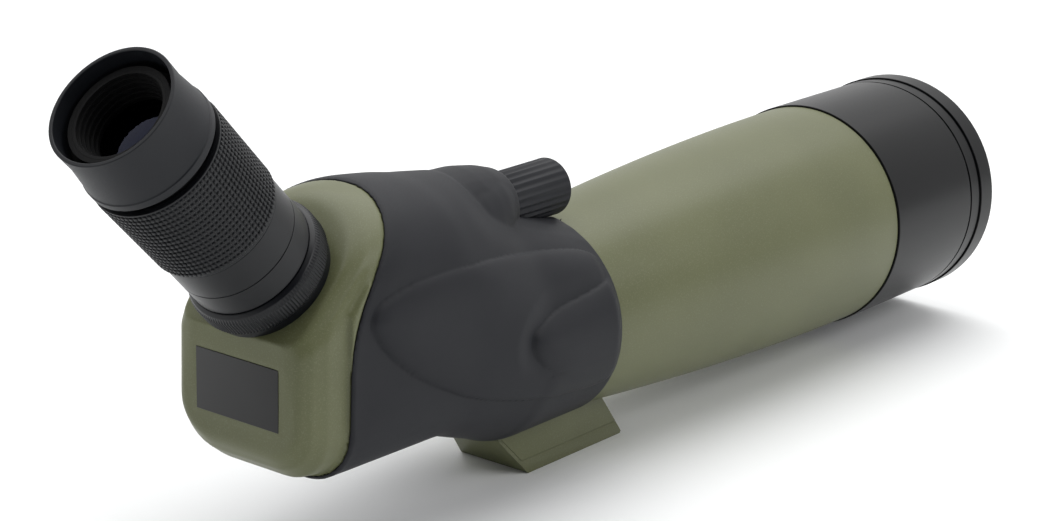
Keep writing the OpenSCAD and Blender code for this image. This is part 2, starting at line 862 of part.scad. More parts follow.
module focus_lens_ring() {
  color(SATIN_BLACK) along_x(carriage_x + 6) tube(focus_lens_r, focus_lens_r - lens_lip, 3);
}

module focus_shaft() {
  color(STEEL) {
    along_x(journal_x, knob_z) cylinder(r = shaft_r, h = shaft_front - journal_x);
    along_x(shaft_rear, knob_z) cylinder(r = journal_r, h = journal_x - shaft_rear);
  }
}

module focus_bush() {
  color(BRASS) difference() {
    union() {
      along_x(pod_bore_x, knob_z) cylinder(r = bush_outer_r, h = bush_front - pod_bore_x);
      along_x(pod_bore_x - 1, knob_z) cylinder(r = pod_bore_r - 0.4, h = 1);
    }
    along_x(pod_bore_x - 5, knob_z) cylinder(r = shaft_r + run_gap, h = 30);
    along_x(bush_front - pocket_len, knob_z) cylinder(r = pocket_r, h = 10);
  }
}

module shaft_seal() {
  color(SEAL_BLACK) along_x(bush_front - pocket_len, knob_z)
    tube(pocket_r - seat_gap, shaft_r + run_gap, pocket_len - 0.4);
}

module shaft_clip() {
  color(STEEL) along_x(clip_x, knob_z) tube(shaft_r + 1.8, shaft_r, clip_t);
}

module focus_knob() {
  color(RUBBER) difference() {
    along_x(-knob_back, knob_z) rotate_extrude($fn = 96) polygon([
      [0, 0], [knob_r - 0.6, 0], [knob_r, 0.6], [knob_r, knob_len - 1], [knob_r - 1, knob_len],
      [0, knob_len]
    ]);
    for (i = [0 : flutes - 1]) along_x(-knob_back - CUT, knob_z) rotate(i * 360 / flutes)
      translate([knob_r + 0.25, 0, 0]) cylinder(r = 0.8, h = knob_len - 1.4, $fn = 24);
    along_x(-knob_back - CUT, knob_z) cylinder(r = shaft_r, h = shaft_front + knob_back + CUT);
    along_x(shaft_front - CUT, knob_z) cylinder(r = knob_screw_r, h = 20);
    along_x(shaft_front + 4, knob_z) cylinder(r = 3.2, h = 20);
    along_x(-knob_back + knob_len - cap_sink, knob_z) cylinder(r = cap_r, h = 5);
  }
}

module knob_screw() {
  color(STEEL) {
    along_x(shaft_front + seat_gap, knob_z) cylinder(r = knob_screw_r - seat_gap, h = 4);
    along_x(shaft_front + 4, knob_z) cylinder(r = 2.6, h = 2);
  }
}

module knob_cap() {
  color(RUBBER) along_x(-knob_back + knob_len - cap_sink, knob_z) cylinder(r = cap_r - seat_gap, h = 1.4);
}

// ---- prism ----

// Side outline of the prism between its entry face, its exit face and the roof
module prism_outline() {
  polygon([
    [-prism_back, prism_low],
    [-prism_back, apex_z - tip_cut],
    [-prism_back - tip_cut * sin(eye_angle), apex_z - tip_cut * cos(eye_angle)],
    [-prism_back - leg * sin(eye_angle), apex_z - leg * cos(eye_angle)]
  ]);
}

module roof_prism() {
  fall = atan2(leg - leg * cos(eye_angle), leg * sin(eye_angle));
  side = prism_half_w * 4;
  color(GLASS) intersection() {
    rotate([90, 0, 0]) linear_extrude(2 * prism_half_w, center = true) prism_outline();
    translate([-prism_back, 0, prism_low]) rotate([0, fall, 0]) rotate([45, 0, 0])
      translate([-BIG / 2, 0, 0]) cube([BIG, side, side]);
  }
}

module prism_cage() {
  cheek_y = prism_half_w + seat_gap;
  color(ALUMINIUM) difference() {
    union() {
      hull() both_sides() {
        along_x(cage_x, cage_low_z + cage_low_r, cage_half_w - cage_low_r)
          cylinder(r = cage_low_r, h = cage_t);
        along_x(cage_x, cage_high_z, cage_half_w - cage_high_r) cylinder(r = cage_high_r, h = cage_t);
      }
      translate([cage_x, -6, axis_h]) cube([cage_t, 12, knob_up + 5]);
      both_sides() translate([cage_x - cheek_len, cheek_y, belly_z + 17])
        cube([cheek_len + cage_t, cage_t, 26]);
    }
    along_x(cage_x - CUT) cylinder(r = cage_bore, h = cage_t + 2 * CUT);
    both_sides() along_x(cage_x - CUT, axis_h, rod_y)
      cylinder(r = rod_r + seat_gap, h = cage_t + 2 * CUT);
    along_x(cage_x - CUT, knob_z) cylinder(r = journal_r + run_gap, h = cage_t + 2 * CUT);
    four(cage_screw_y, cage_screw_z) translate([0, 0, cage_x - CUT])
      cylinder(r = screw_r + seat_gap, h = 8);
  }
}

// Sprung strap over the cut tip of the prism, hooked on the cage's plate
module prism_clip() {
  tip_z = apex_z - tip_cut;
  color(STEEL) {
    translate([cage_x - 10, -4, tip_z + 5]) cube([10, 8, 1]);
    translate([cage_x - 1, -4, tip_z + 1]) cube([1, 8, 5]);
  }
}

module cage_screws() {
  color(STEEL) four(cage_screw_y, cage_screw_z) {
    translate([0, 0, cage_x - head_t]) cylinder(r = head_r - 0.6, h = head_t);
    translate([0, 0, cage_x - 1]) cylinder(r = screw_r, h = cage_screw_len);
  }
}

// ---- eyepiece ----

module eyepiece_base() {
  color(SATIN_BLACK) difference() {
    union() {
      on_eye(seat_s - eye_spigot_len) cylinder(r = eye_spigot_r, h = eye_spigot_len + SLICE);
      on_eye(seat_s) cylinder(r = flange_r, h = base_flange_t);
      on_eye(seat_s) cylinder(r = neck_r, h = lower_s - seat_s);
    }
    on_eye(seat_s - 12) cylinder(r = tube_r + seat_gap, h = 40);
    on_eye(eye_seal_s) tube(eye_spigot_r + CUT, eye_spigot_r - ring_depth, eye_seal_w);
  }
}

module eyepiece_seal() {
  color(SEAL_BLACK) on_eye(eye_seal_s) tube(eye_spigot_r, eye_spigot_r - ring_depth, eye_seal_w);
}

module lock_collar() {
  color(SATIN_BLACK) difference() {
    on_eye(collar_s) rotate_extrude($fn = 128) polygon([
      [neck_r + free_gap, 0], [collar_r - 1.2, 0], [collar_r, 1.2], [collar_r, collar_len - 3],
      [collar_r - 0.9, collar_len - 1], [eye_barrel_r + 0.2, collar_len], [neck_r + free_gap, collar_len]
    ]);
    for (i = [0 : knurls - 1]) on_eye(collar_s - CUT) rotate(i * 360 / knurls)
      translate([collar_r + 0.25, 0, 0]) cylinder(r = 0.6, h = collar_len, $fn = 16);
  }
}

module lower_barrel() {
  line_s = 9.5;
  color(SATIN_BLACK) difference() {
    on_eye(lower_s) cylinder(r = eye_barrel_r, h = lower_len);
    on_eye(lower_s + 2.5) cylinder(r = eye_barrel_r - 2, h = lower_len);
    on_eye(lower_s - CUT) cylinder(r = tube_r + seat_gap, h = 5);
    on_eye(lower_s + line_s) tube(eye_barrel_r + CUT, eye_barrel_r - 0.3, 0.5);
  }
}

// Fixed inner tube of the eyepiece, with a straight slot for the pin of each moving cell
module guide_tube() {
  slot_w = pin_r + 0.3;
  color(ALUMINIUM) difference() {
    on_eye(tube_low) tube(tube_r, tube_bore, upper_s + upper_flange_t - tube_low);
    on_eye(rear_cell_s - rear_travel - slot_w) translate([0, -slot_w, 0])
      cube([20, 2 * slot_w, 2 * (rear_travel + slot_w)]);
    on_eye(front_cell_s - front_travel - slot_w) translate([-20, -slot_w, 0])
      cube([20, 2 * slot_w, 2 * (front_travel + slot_w)]);
  }
}

module field_lens() {
  color(GLASS) on_eye(field_s) lens(tube_bore - seat_gap, 4, 0, 1.2);
}

module zoom_sleeve() {
  color(SATIN_BLACK) on_eye(grip_s) tube(sleeve_r, cam_r, grip_len);
}

module zoom_grip() {
  rows = 12;
  pitch = (grip_len - 2) / rows;
  color(RUBBER) on_eye(grip_s) rotate_extrude($fn = 128) polygon(concat(
    [[sleeve_r, 0], [grip_r0 - 0.5, 0]],
    [for (i = [0 : rows - 1]) each [
      [grip_r0 + (grip_r1 - grip_r0) * i / rows, 1 + pitch * i],
      [grip_r0 + (grip_r1 - grip_r0) * i / rows, 1 + pitch * (i + 0.65)],
      [grip_r0 + (grip_r1 - grip_r0) * i / rows - 0.5, 1 + pitch * (i + 0.75)],
      [grip_r0 + (grip_r1 - grip_r0) * i / rows - 0.5, 1 + pitch * (i + 0.95)]
    ]],
    [[grip_r1 - 0.5, grip_len], [sleeve_r, grip_len]]
  ));
}

// Helical slot for a cell's pin: as the sleeve turns, the pin moves along the axis
module cam_slot(s, travel, start) {
  for (a = [-zoom_turn - slot_step / 2 : slot_step / 2 + slot_step / 6 : zoom_turn + slot_step / 2])
    on_eye(s - travel * a / zoom_turn) rotate(start + a) rotate([0, 90, 0])
      translate([0, 0, tube_r - CUT]) cylinder(r = slot_r, h = cam_r - tube_r + 2 * CUT, $fn = 24);
}

module cam_sleeve() {
  color(BRASS) difference() {
    on_eye(grip_s) tube(cam_r - seat_gap, tube_r + free_gap, grip_len);
    cam_slot(rear_cell_s, rear_travel, 0);
    cam_slot(front_cell_s, front_travel, 180);
  }
}

// Lens cell centred at s, with its guide pin at the given angle
module zoom_cell(s, angle) {
  color(SATIN_BLACK) difference() {
    on_eye(s) {
      translate([0, 0, -cell_len / 2]) cylinder(r = cell_play_r, h = cell_len);
      rotate(angle) rotate([0, 90, 0]) translate([0, 0, cell_play_r - 1])
        cylinder(r = pin_r, h = cam_r - cell_play_r + 0.4);
    }
    on_eye(s - cell_len / 2 + 2) cylinder(r = zoom_lens_r + seat_gap, h = cell_len);
    on_eye(s - cell_len / 2 - CUT) cylinder(r = zoom_lens_r - 1, h = cell_len);
  }
}

module rear_zoom_cell() {
  zoom_cell(rear_cell_s, 0);
}

module rear_zoom_lens() {
  color(GLASS) on_eye(rear_cell_s - cell_len / 2 + 2) lens(zoom_lens_r, 3, -0.8, -0.8);
}

module front_zoom_cell() {
  zoom_cell(front_cell_s, 180);
}

module front_zoom_lens() {
  color(GLASS) on_eye(front_cell_s - cell_len / 2 + 2) lens(zoom_lens_r, 3, 1, 0);
}

module upper_barrel() {
  color(SATIN_BLACK) difference() {
    union() {
      on_eye(upper_s) cylinder(r = upper_flange_r, h = upper_flange_t);
      on_eye(upper_s) cylinder(r = post_r, h = post_top - upper_s);
    }
    on_eye(upper_s - CUT) cylinder(r = tube_r + seat_gap, h = upper_flange_t + CUT + 0.1);
    on_eye(upper_s) cylinder(r = eye_lens_r - 1, h = 30);
    on_eye(eye_lens_s) cylinder(r = eye_lens_r + seat_gap, h = 30);
    on_eye(eye_lens_s + eye_lens_edge) cylinder(r = post_bore, h = 30);
  }
}

module eye_lens() {
  color(GLASS) on_eye(eye_lens_s) lens(eye_lens_r, eye_lens_edge, 1.2, 0);
}

// Stepped black ring that holds the eye lens
module eye_lens_ring() {
  low = eye_lens_s + eye_lens_edge + lens_relief;
  steps = 4;
  rise = (post_top - low) / steps;
  inner = [for (i = [0 : steps - 1]) each [
    [eye_lens_r - 1 + 0.7 * i, rise * i], [eye_lens_r - 1 + 0.7 * i, rise * (i + 1)]
  ]];
  color("#151517") on_eye(low) rotate_extrude($fn = 96) polygon(concat(
    inner, [[post_bore - seat_gap, post_top - low], [post_bore - seat_gap, 0]]
  ));
}

module eyecup_lift_ring() {
  color(SATIN_BLACK) on_eye(cup_s + lift_s) tube(lift_r + lift_wall, lift_r, lift_len);
}

module eyecup_sleeve() {
  color(SATIN_BLACK) on_eye(cup_s) {
    tube(cup_bore, cup_sleeve_r, cup_sleeve_len);
    translate([0, 0, cup_sleeve_len - 1.5]) tube(cup_bore, lift_r + 0.3, 1.5);
  }
}

module eyecup() {
  base = 2.5;
  color(RUBBER) on_eye(cup_s) rotate_extrude($fn = 128) polygon([
    [cup_bore, 0], [cup_r0 - 0.5, 0], [cup_r0, 0.5], [cup_r0, base],
    [cup_r0 - 0.5, base + 0.5], [cup_r1 - 0.3, cup_len * 0.6], [cup_r1, cup_len - 0.6],
    [cup_r1 - 0.4, cup_len], [cup_r1 - cup_wall + 0.3, cup_len], [cup_r1 - cup_wall, cup_len - 0.8],
    [cup_r1 - cup_wall - 0.3, cup_sleeve_len + 1], [cup_bore, cup_sleeve_len + 1]
  ]);
}

dew_shield();
shade_felt_ring();
barrel();
barrel_seal();
barrel_baffles();
objective_cell();
objective_seal();
crown_lens();
flint_lens();
lens_spacer();
lens_retaining_ring();
body_shell();
rear_housing();
housing_screws();
rubber_armour();
label_plate();
foot_saddle();
mounting_plate();
tripod_bush();
foot_screws();
guide_rods();
focus_carriage();
focusing_lens();
focus_lens_ring();
focus_shaft();
focus_bush();
shaft_seal();
shaft_clip();
focus_knob();
knob_screw();
knob_cap();
prism_cage();
roof_prism();
prism_clip();
cage_screws();
eyepiece_base();
eyepiece_seal();
lock_collar();
lower_barrel();
guide_tube();
field_lens();
zoom_sleeve();
zoom_grip();
cam_sleeve();
rear_zoom_cell();
rear_zoom_lens();
front_zoom_cell();
front_zoom_lens();
upper_barrel();
eye_lens();
eye_lens_ring();
eyecup_lift_ring();
eyecup_sleeve();
eyecup();
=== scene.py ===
# Angled spotting scope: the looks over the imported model, in metres and in the CAD's frame
import json
import math

import bmesh
import bpy
import numpy as np
from mathutils import Matrix, Vector


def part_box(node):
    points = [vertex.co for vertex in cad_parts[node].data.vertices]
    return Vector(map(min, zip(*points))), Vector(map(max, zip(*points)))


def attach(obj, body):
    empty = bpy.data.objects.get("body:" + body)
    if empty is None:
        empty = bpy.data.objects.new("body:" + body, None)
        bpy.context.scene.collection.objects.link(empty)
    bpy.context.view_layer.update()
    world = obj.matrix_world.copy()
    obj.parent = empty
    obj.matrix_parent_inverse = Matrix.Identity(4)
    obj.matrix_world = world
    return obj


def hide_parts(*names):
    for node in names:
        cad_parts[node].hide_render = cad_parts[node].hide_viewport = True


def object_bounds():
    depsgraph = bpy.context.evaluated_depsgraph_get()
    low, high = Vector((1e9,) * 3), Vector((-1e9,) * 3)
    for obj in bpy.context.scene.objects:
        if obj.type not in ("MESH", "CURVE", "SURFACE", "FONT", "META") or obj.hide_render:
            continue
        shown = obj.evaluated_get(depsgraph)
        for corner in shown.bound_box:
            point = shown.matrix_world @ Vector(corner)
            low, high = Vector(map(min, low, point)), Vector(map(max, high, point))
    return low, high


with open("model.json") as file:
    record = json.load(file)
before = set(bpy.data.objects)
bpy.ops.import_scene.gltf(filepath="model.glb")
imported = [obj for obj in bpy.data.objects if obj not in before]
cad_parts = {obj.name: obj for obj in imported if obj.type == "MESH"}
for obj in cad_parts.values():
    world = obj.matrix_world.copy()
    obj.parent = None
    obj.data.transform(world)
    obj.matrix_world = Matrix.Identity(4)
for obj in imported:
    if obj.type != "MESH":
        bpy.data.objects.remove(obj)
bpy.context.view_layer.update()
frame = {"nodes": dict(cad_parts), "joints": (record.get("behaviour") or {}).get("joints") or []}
mm = 0.001
print("frame loaded,", len(frame["nodes"]), "nodes")


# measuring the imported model
def jointNamed(name):
    return next(j for j in frame["joints"] if j["name"] == name)


def nodePoints(node):
    data = frame["nodes"][node].data
    flat = np.zeros(len(data.vertices) * 3)
    data.vertices.foreach_get("co", flat)
    return flat.reshape(-1, 3)


# distance along a line and from it, in mm, for every point of an array
def alongAndAcross(points, line):
    rel = points - np.array(line[0])
    along = rel @ np.array(line[1])
    across = np.linalg.norm(rel - np.outer(along, np.array(line[1])), axis=1)
    return along / mm, across / mm


# lowest and highest place along a line, smallest and largest radius round it, in mm
def reach(node, line):
    along, across = alongAndAcross(nodePoints(node), line)
    return along.min(), along.max(), across.min(), across.max()


shadeLow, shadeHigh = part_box("dew_shield")
scopeLine = (Vector((0, 0, (shadeLow.z + shadeHigh.z) / 2)), Vector((1, 0, 0)))
eyeLine = (Vector(jointNamed("zoom_turn")["pos_m"]), Vector(jointNamed("zoom_turn")["axis"]).normalized())
knobLine = (Vector(jointNamed("focus_turn")["pos_m"]), Vector((1, 0, 0)))


# an sRGB hex colour as the linear colour that a socket takes
def linear(hexColour):
    out = []
    for i in (1, 3, 5):
        c = int(hexColour[i:i + 2], 16) / 255
        out.append(c / 12.92 if c <= 0.04045 else ((c + 0.055) / 1.055) ** 2.4)
    return (*out, 1)


# adds one node: settings are attributes or socket values, wires are socket: output
def addNode(tree, kind, settings=None, wires=None):
    node = tree.nodes.new("ShaderNode" + kind)
    for key, value in (settings or {}).items():
        if isinstance(key, str) and hasattr(node, key):
            setattr(node, key, value)
        else:
            node.inputs[key].default_value = value
    for key, source in (wires or {}).items():
        tree.links.new(source, node.inputs[key])
    return node


# a finish from its dictionary: colour drifting over cloud mm, specks of grain mm,
# roughness between two values and a relief of pit mm
def makeFinish(name, look):
    material = bpy.data.materials.new(name)
    material.use_nodes = True
    tree = material.node_tree
    shader = tree.nodes["Principled BSDF"]
    place = addNode(tree, "TexCoord").outputs["Object"]
    cloud = addNode(tree, "TexNoise", {"Scale": 1 / (look["cloud"] * mm), "Detail": 3.0}, {"Vector": place})
    grain = addNode(tree, "TexNoise", {"Scale": 1 / (look["grain"] * mm), "Detail": 2.0, "Roughness": 0.6},
                    {"Vector": place})
    drift = addNode(tree, "MapRange", {"From Min": 0.35, "From Max": 0.65}, {"Value": cloud.outputs["Fac"]})
    base = addNode(tree, "Mix", {"data_type": "RGBA", 6: linear(look["colour"]), 7: linear(look["shade"])},
                   {0: drift.outputs["Result"]})
    specks = addNode(tree, "MapRange", {"From Min": look["speckFrom"], "From Max": look["speckFrom"] + 0.12,
                                        "To Max": look["speckAmount"]}, {"Value": grain.outputs["Fac"]})
    speckled = addNode(tree, "Mix", {"data_type": "RGBA", 7: linear(look["speck"])},
                       {0: specks.outputs["Result"], 6: base.outputs[2]})
    tree.links.new(speckled.outputs[2], shader.inputs["Base Color"])
    rough = addNode(tree, "MapRange", {"From Min": 0.3, "From Max": 0.7, "To Min": look["rough"][0],
                                       "To Max": look["rough"][1]}, {"Value": grain.outputs["Fac"]})
    tree.links.new(rough.outputs["Result"], shader.inputs["Roughness"])
    pits = addNode(tree, "TexNoise", {"Scale": 1 / (look["pit"] * mm), "Detail": 2.0}, {"Vector": place})
    bump = addNode(tree, "Bump", {"Strength": look["pitStrength"], "Distance": look["pitDepth"] * mm},
                   {"Height": pits.outputs["Fac"]})
    tree.links.new(bump.outputs["Normal"], shader.inputs["Normal"])
    for socket, value in look.get("sockets", {}).items():
        shader.inputs[socket].default_value = value
    return material


finishes = {
    # sprayed texture enamel on the castings and the barrel: satin olive with a fine lighter fleck
    "oliveEnamel": dict(colour="#636647", shade="#5e6143", speck="#7a7d63", cloud=45, grain=0.5,
                        speckFrom=0.54, speckAmount=0.4, rough=(0.34, 0.46),
                        pit=0.7, pitStrength=0.25, pitDepth=0.03, sockets={"Specular IOR Level": 0.35}),
    # soft-touch moulded rubber: charcoal, nearly matt, with a faint sheen where it curves away
    "softTouchRubber": dict(colour="#222327", shade="#1f2024", speck="#2c2d31", cloud=30, grain=0.35,
                            speckFrom=0.56, speckAmount=0.35, rough=(0.5, 0.6),
                            pit=0.4, pitStrength=0.2, pitDepth=0.02, sockets={"Specular IOR Level": 0.2}),
    # bead-blasted, black anodised aluminium: deep black with a cool satin reflection
    "blackAnodised": dict(colour="#050609", shade="#040507", speck="#0c0d11", cloud=35, grain=0.3,
                          speckFrom=0.56, speckAmount=0.4, rough=(0.28, 0.35),
                          pit=0.3, pitStrength=0.12, pitDepth=0.01, sockets={"Specular IOR Level": 0.22}),
    # turned, black anodised eyepiece metal: a shade bluer and softer than the sunshade
    "turnedAnodised": dict(colour="#0e1014", shade="#0c0d11", speck="#181a1f", cloud=20, grain=0.3,
                           speckFrom=0.56, speckAmount=0.4, rough=(0.3, 0.38),
                           pit=0.3, pitStrength=0.12, pitDepth=0.01, sockets={"Specular IOR Level": 0.3}),
    # moulded nitrile rubber of the zoom grip: blue-black studs with a dull shine on their tops
    "grippyRubber": dict(colour="#101216", shade="#0d0f13", speck="#1a1c20", cloud=18, grain=0.3,
                         speckFrom=0.56, speckAmount=0.35, rough=(0.38, 0.48),
                         pit=0.3, pitStrength=0.15, pitDepth=0.015, sockets={"Specular IOR Level": 0.35}),
    # smooth moulded eyecup rubber: even, soft and dark
    "smoothRubber": dict(colour="#15171c", shade="#13151a", speck="#1c1e23", cloud=22, grain=0.35,
                         speckFrom=0.58, speckAmount=0.3, rough=(0.44, 0.52),
                         pit=0.35, pitStrength=0.12, pitDepth=0.012, sockets={"Specular IOR Level": 0.3}),
    # flat black optical paint: swallows light inside the tubes
    "opticalBlack": dict(colour="#0a0a0b", shade="#080809", speck="#111112", cloud=15, grain=0.4,
                         speckFrom=0.58, speckAmount=0.4, rough=(0.75, 0.85),
                         pit=0.4, pitStrength=0.3, pitDepth=0.03, sockets={"Specular IOR Level": 0.25}),
    # moulded ABS of the blank rear plate: black, fine spark-eroded texture
    "texturedPlastic": dict(colour="#151516", shade="#121213", speck="#1e1e1f", cloud=12, grain=0.3,
                            speckFrom=0.55, speckAmount=0.4, rough=(0.42, 0.52),
                            pit=0.35, pitStrength=0.3, pitDepth=0.02, sockets={"Specular IOR Level": 0.5}),
    # machined aluminium of the hidden frame: bright grey with fine tool marks
    "milledAluminium": dict(colour="#a9abae", shade="#9c9ea2", speck="#bfc1c3", cloud=8, grain=0.25,
                            speckFrom=0.55, speckAmount=0.5, rough=(0.3, 0.42),
                            pit=0.25, pitStrength=0.2, pitDepth=0.01, sockets={"Metallic": 1.0}),
    # zinc plated steel of screws, rods and clips: cool grey, slightly cloudy
    "platedSteel": dict(colour="#8f9296", shade="#7d8084", speck="#a7a9ac", cloud=5, grain=0.25,
                        speckFrom=0.56, speckAmount=0.4, rough=(0.24, 0.36),
                        pit=0.2, pitStrength=0.15, pitDepth=0.008, sockets={"Metallic": 1.0}),
    # turned brass of bushes and the cam sleeve: warm yellow with a soft turning mark
    "turnedBrass": dict(colour="#b5924e", shade="#a58243", speck="#cbab6b", cloud=6, grain=0.25,
                        speckFrom=0.55, speckAmount=0.4, rough=(0.25, 0.36),
                        pit=0.2, pitStrength=0.15, pitDepth=0.008, sockets={"Metallic": 1.0}),
    # pressed wool felt of the sunshade's friction ring: fibrous black
    "woolFelt": dict(colour="#17171a", shade="#121214", speck="#2c2c30", cloud=4, grain=0.5,
                     speckFrom=0.5, speckAmount=0.6, rough=(0.85, 0.95),
                     pit=0.5, pitStrength=0.7, pitDepth=0.15,
                     sockets={"Sheen Weight": 0.3, "Sheen Roughness": 0.5}),
    # moulded nitrile seals: plain black with a dull shine
    "nitrileSeal": dict(colour="#121213", shade="#0f0f10", speck="#1c1c1d", cloud=5, grain=0.3,
                        speckFrom=0.56, speckAmount=0.3, rough=(0.45, 0.55),
                        pit=0.3, pitStrength=0.15, pitDepth=0.01, sockets={"Specular IOR Level": 0.5}),
}
surface = {name: makeFinish(name, look) for name, look in finishes.items()}


# polished optical glass with its coating: clear inside, faintly coloured in reflection, slightly hazy
glass = dict(reflect=0.12, hazeSize=9, hazeRough=(0.01, 0.04))  # the coating takes most reflection away


def makeGlass(name, tint, clear, coating, ior):
    material = bpy.data.materials.new(name)
    material.use_nodes = True
    tree = material.node_tree
    shader = tree.nodes["Principled BSDF"]
    shader.inputs["Transmission Weight"].default_value = 1.0
    shader.inputs["IOR"].default_value = ior
    shader.inputs["Specular IOR Level"].default_value = glass["reflect"]
    shader.inputs["Specular Tint"].default_value = linear(coating)
    place = addNode(tree, "TexCoord").outputs["Object"]
    haze = addNode(tree, "TexNoise", {"Scale": 1 / (glass["hazeSize"] * mm), "Detail": 2.0},
                   {"Vector": place})
    veil = addNode(tree, "Mix", {"data_type": "RGBA", 6: linear(tint), 7: linear(clear)},
                   {0: haze.outputs["Fac"]})
    tree.links.new(veil.outputs[2], shader.inputs["Base Color"])
    film = addNode(tree, "MapRange", {"To Min": glass["hazeRough"][0], "To Max": glass["hazeRough"][1]},
                   {"Value": haze.outputs["Fac"]})
    tree.links.new(film.outputs["Result"], shader.inputs["Roughness"])
    return material


# crown glass with an objective's green coating, then denser glass with an eyepiece's violet-blue one; the
# eyepiece glass is tinted near black, painted shade for the dark tube seen through it
surface["coatedGlass"] = makeGlass("coatedGlass", "#c6d8d0", "#d6e4de", "#8fc7b0", 1.52)
surface["eyeGlass"] = makeGlass("eyeGlass", "#2a2d36", "#30343f", "#6a74a8", 1.6)

nodeFinish = {
    "woolFelt": ["shade_felt_ring"],
    "nitrileSeal": ["barrel_seal", "objective_seal", "shaft_seal", "eyepiece_seal"],
    "opticalBlack": ["barrel_baffles", "lens_retaining_ring", "focus_carriage", "focus_lens_ring",
                     "guide_tube", "rear_zoom_cell", "front_zoom_cell", "eye_lens_ring", "upper_barrel",
                     "eyecup_lift_ring", "eyecup_sleeve"],
    "blackAnodised": ["dew_shield", "objective_cell"],
    "coatedGlass": ["crown_lens", "flint_lens", "focusing_lens", "roof_prism", "field_lens",
                    "rear_zoom_lens", "front_zoom_lens"],
    "eyeGlass": ["eye_lens"],
    "milledAluminium": ["lens_spacer", "prism_cage"],
    "oliveEnamel": ["barrel", "body_shell", "rear_housing", "foot_saddle", "mounting_plate"],
    "platedSteel": ["housing_screws", "foot_screws", "guide_rods", "focus_shaft", "shaft_clip", "knob_screw",
                    "prism_clip", "cage_screws"],
    "turnedBrass": ["tripod_bush", "focus_bush", "cam_sleeve"],
    "softTouchRubber": ["rubber_armour", "focus_knob", "knob_cap"],
    "texturedPlastic": ["label_plate"],
    "turnedAnodised": ["eyepiece_base", "lock_collar", "lower_barrel", "zoom_sleeve"],
    "grippyRubber": ["zoom_grip"],
    "smoothRubber": ["eyecup"],
}
for finish, nodes in nodeFinish.items():
    for node in nodes:
        data = frame["nodes"][node].data
        data.materials.clear()
        data.materials.append(surface[finish])
print("materials made,", len(surface))


# links a mesh as a piece on a body, with its finishes and the CAD nodes that it stands for
def addPiece(name, data, finish, body, *nodes, matrix=None):
    piece = bpy.data.objects.new(name, data)
    bpy.context.scene.collection.objects.link(piece)
    if matrix is not None:
        piece.matrix_world = matrix
    for one in ([finish] if isinstance(finish, str) else finish):
        data.materials.append(surface[one])
    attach(piece, body)
    if nodes:
        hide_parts(*nodes)
    return piece


# rounds each corner of a closed outline by soft mm, with a point beside each curve to keep flats flat
def softOutline(outline, soft):
    corners = [Vector(p) for p in outline]
    out = []
    for i, p in enumerate(corners):
        u, v = corners[i - 1] - p, corners[(i + 1) % len(corners)] - p
        cut = min(soft, u.length * 0.36, v.length * 0.36)
        if cut < 1e-4:
            continue
        u.normalize()
        v.normalize()
        if u.angle(v) > math.pi - 0.14:
            out.append(p)
            continue
        start, end = p + u * cut, p + v * cut
        out.append(p + u * cut * 1.35)
        for t in (0, 0.25, 0.5, 0.75, 1):
            out.append(start * (1 - t) ** 2 + p * (2 * t * (1 - t)) + end * t * t)
        out.append(p + v * cut * 1.35)
    return np.array([(p.x, p.y) for p in out])


# a turned form: its closed outline is (radius, place along the line) in mm, shape adds to the radius by
# angle, radius and place, and where inside holds a face takes the piece's second finish
def turned(outline, line, soft=0.3, steps=192, shape=None, inside=None):
    ring = softOutline(outline, soft)
    angle = np.arange(steps) * 2 * math.pi / steps
    radius = np.repeat(ring[:, :1], steps, 1)
    place = np.repeat(ring[:, 1:], steps, 1)
    if shape:
        radius = radius + shape(angle[None, :], radius, place)
    points = np.stack([radius * np.cos(angle), radius * np.sin(angle), place], 2).reshape(-1, 3) * mm
    count = len(ring)
    faces = []
    for i in range(count):
        here, there = i * steps, (i + 1) % count * steps
        for k in range(steps):
            after = (k + 1) % steps
            faces.append((here + k, here + after, there + after, there + k))
    data = bpy.data.meshes.new("turned")
    data.from_pydata(points.tolist(), [], faces)
    bm = bmesh.new()
    bm.from_mesh(data)
    bmesh.ops.remove_doubles(bm, verts=bm.verts, dist=1e-7)
    bmesh.ops.recalc_face_normals(bm, faces=bm.faces)
    for face in bm.faces:
        face.smooth = True
        if inside:
            c = face.calc_center_median()
            face.material_index = int(inside(math.hypot(c.x, c.y) / mm, c.z / mm))
    bm.to_mesh(data)
    bm.free()
    matrix = Matrix.Translation(line[0]) @ line[1].to_track_quat("Z", "Y").to_matrix().to_4x4()
    return data, matrix


# applies what the modifiers do, so the piece keeps one plain mesh
def settled(piece):
    bpy.context.view_layer.update()
    data = bpy.data.meshes.new_from_object(piece.evaluated_get(bpy.context.evaluated_depsgraph_get()))
    piece.modifiers.clear()
    piece.data = data
    return piece


# a copy of a CAD node with its hard edges broken by a small round
def softened(name, node, finish, body, width):
    data = frame["nodes"][node].data.copy()
    data.materials.clear()
    bm = bmesh.new()
    bm.from_mesh(data)
    bmesh.ops.remove_doubles(bm, verts=bm.verts, dist=2e-6)
    bmesh.ops.dissolve_limit(bm, angle_limit=0.03, verts=bm.verts, edges=bm.edges)
    for face in bm.faces:
        face.smooth = True
    bm.to_mesh(data)
    bm.free()
    piece = addPiece(name, data, finish, body, node)
    bevel = piece.modifiers.new("breakEdges", "BEVEL")
    bevel.width, bevel.segments, bevel.angle_limit = width * mm, 3, 0.5
    bevel.harden_normals = True
    return settled(piece)


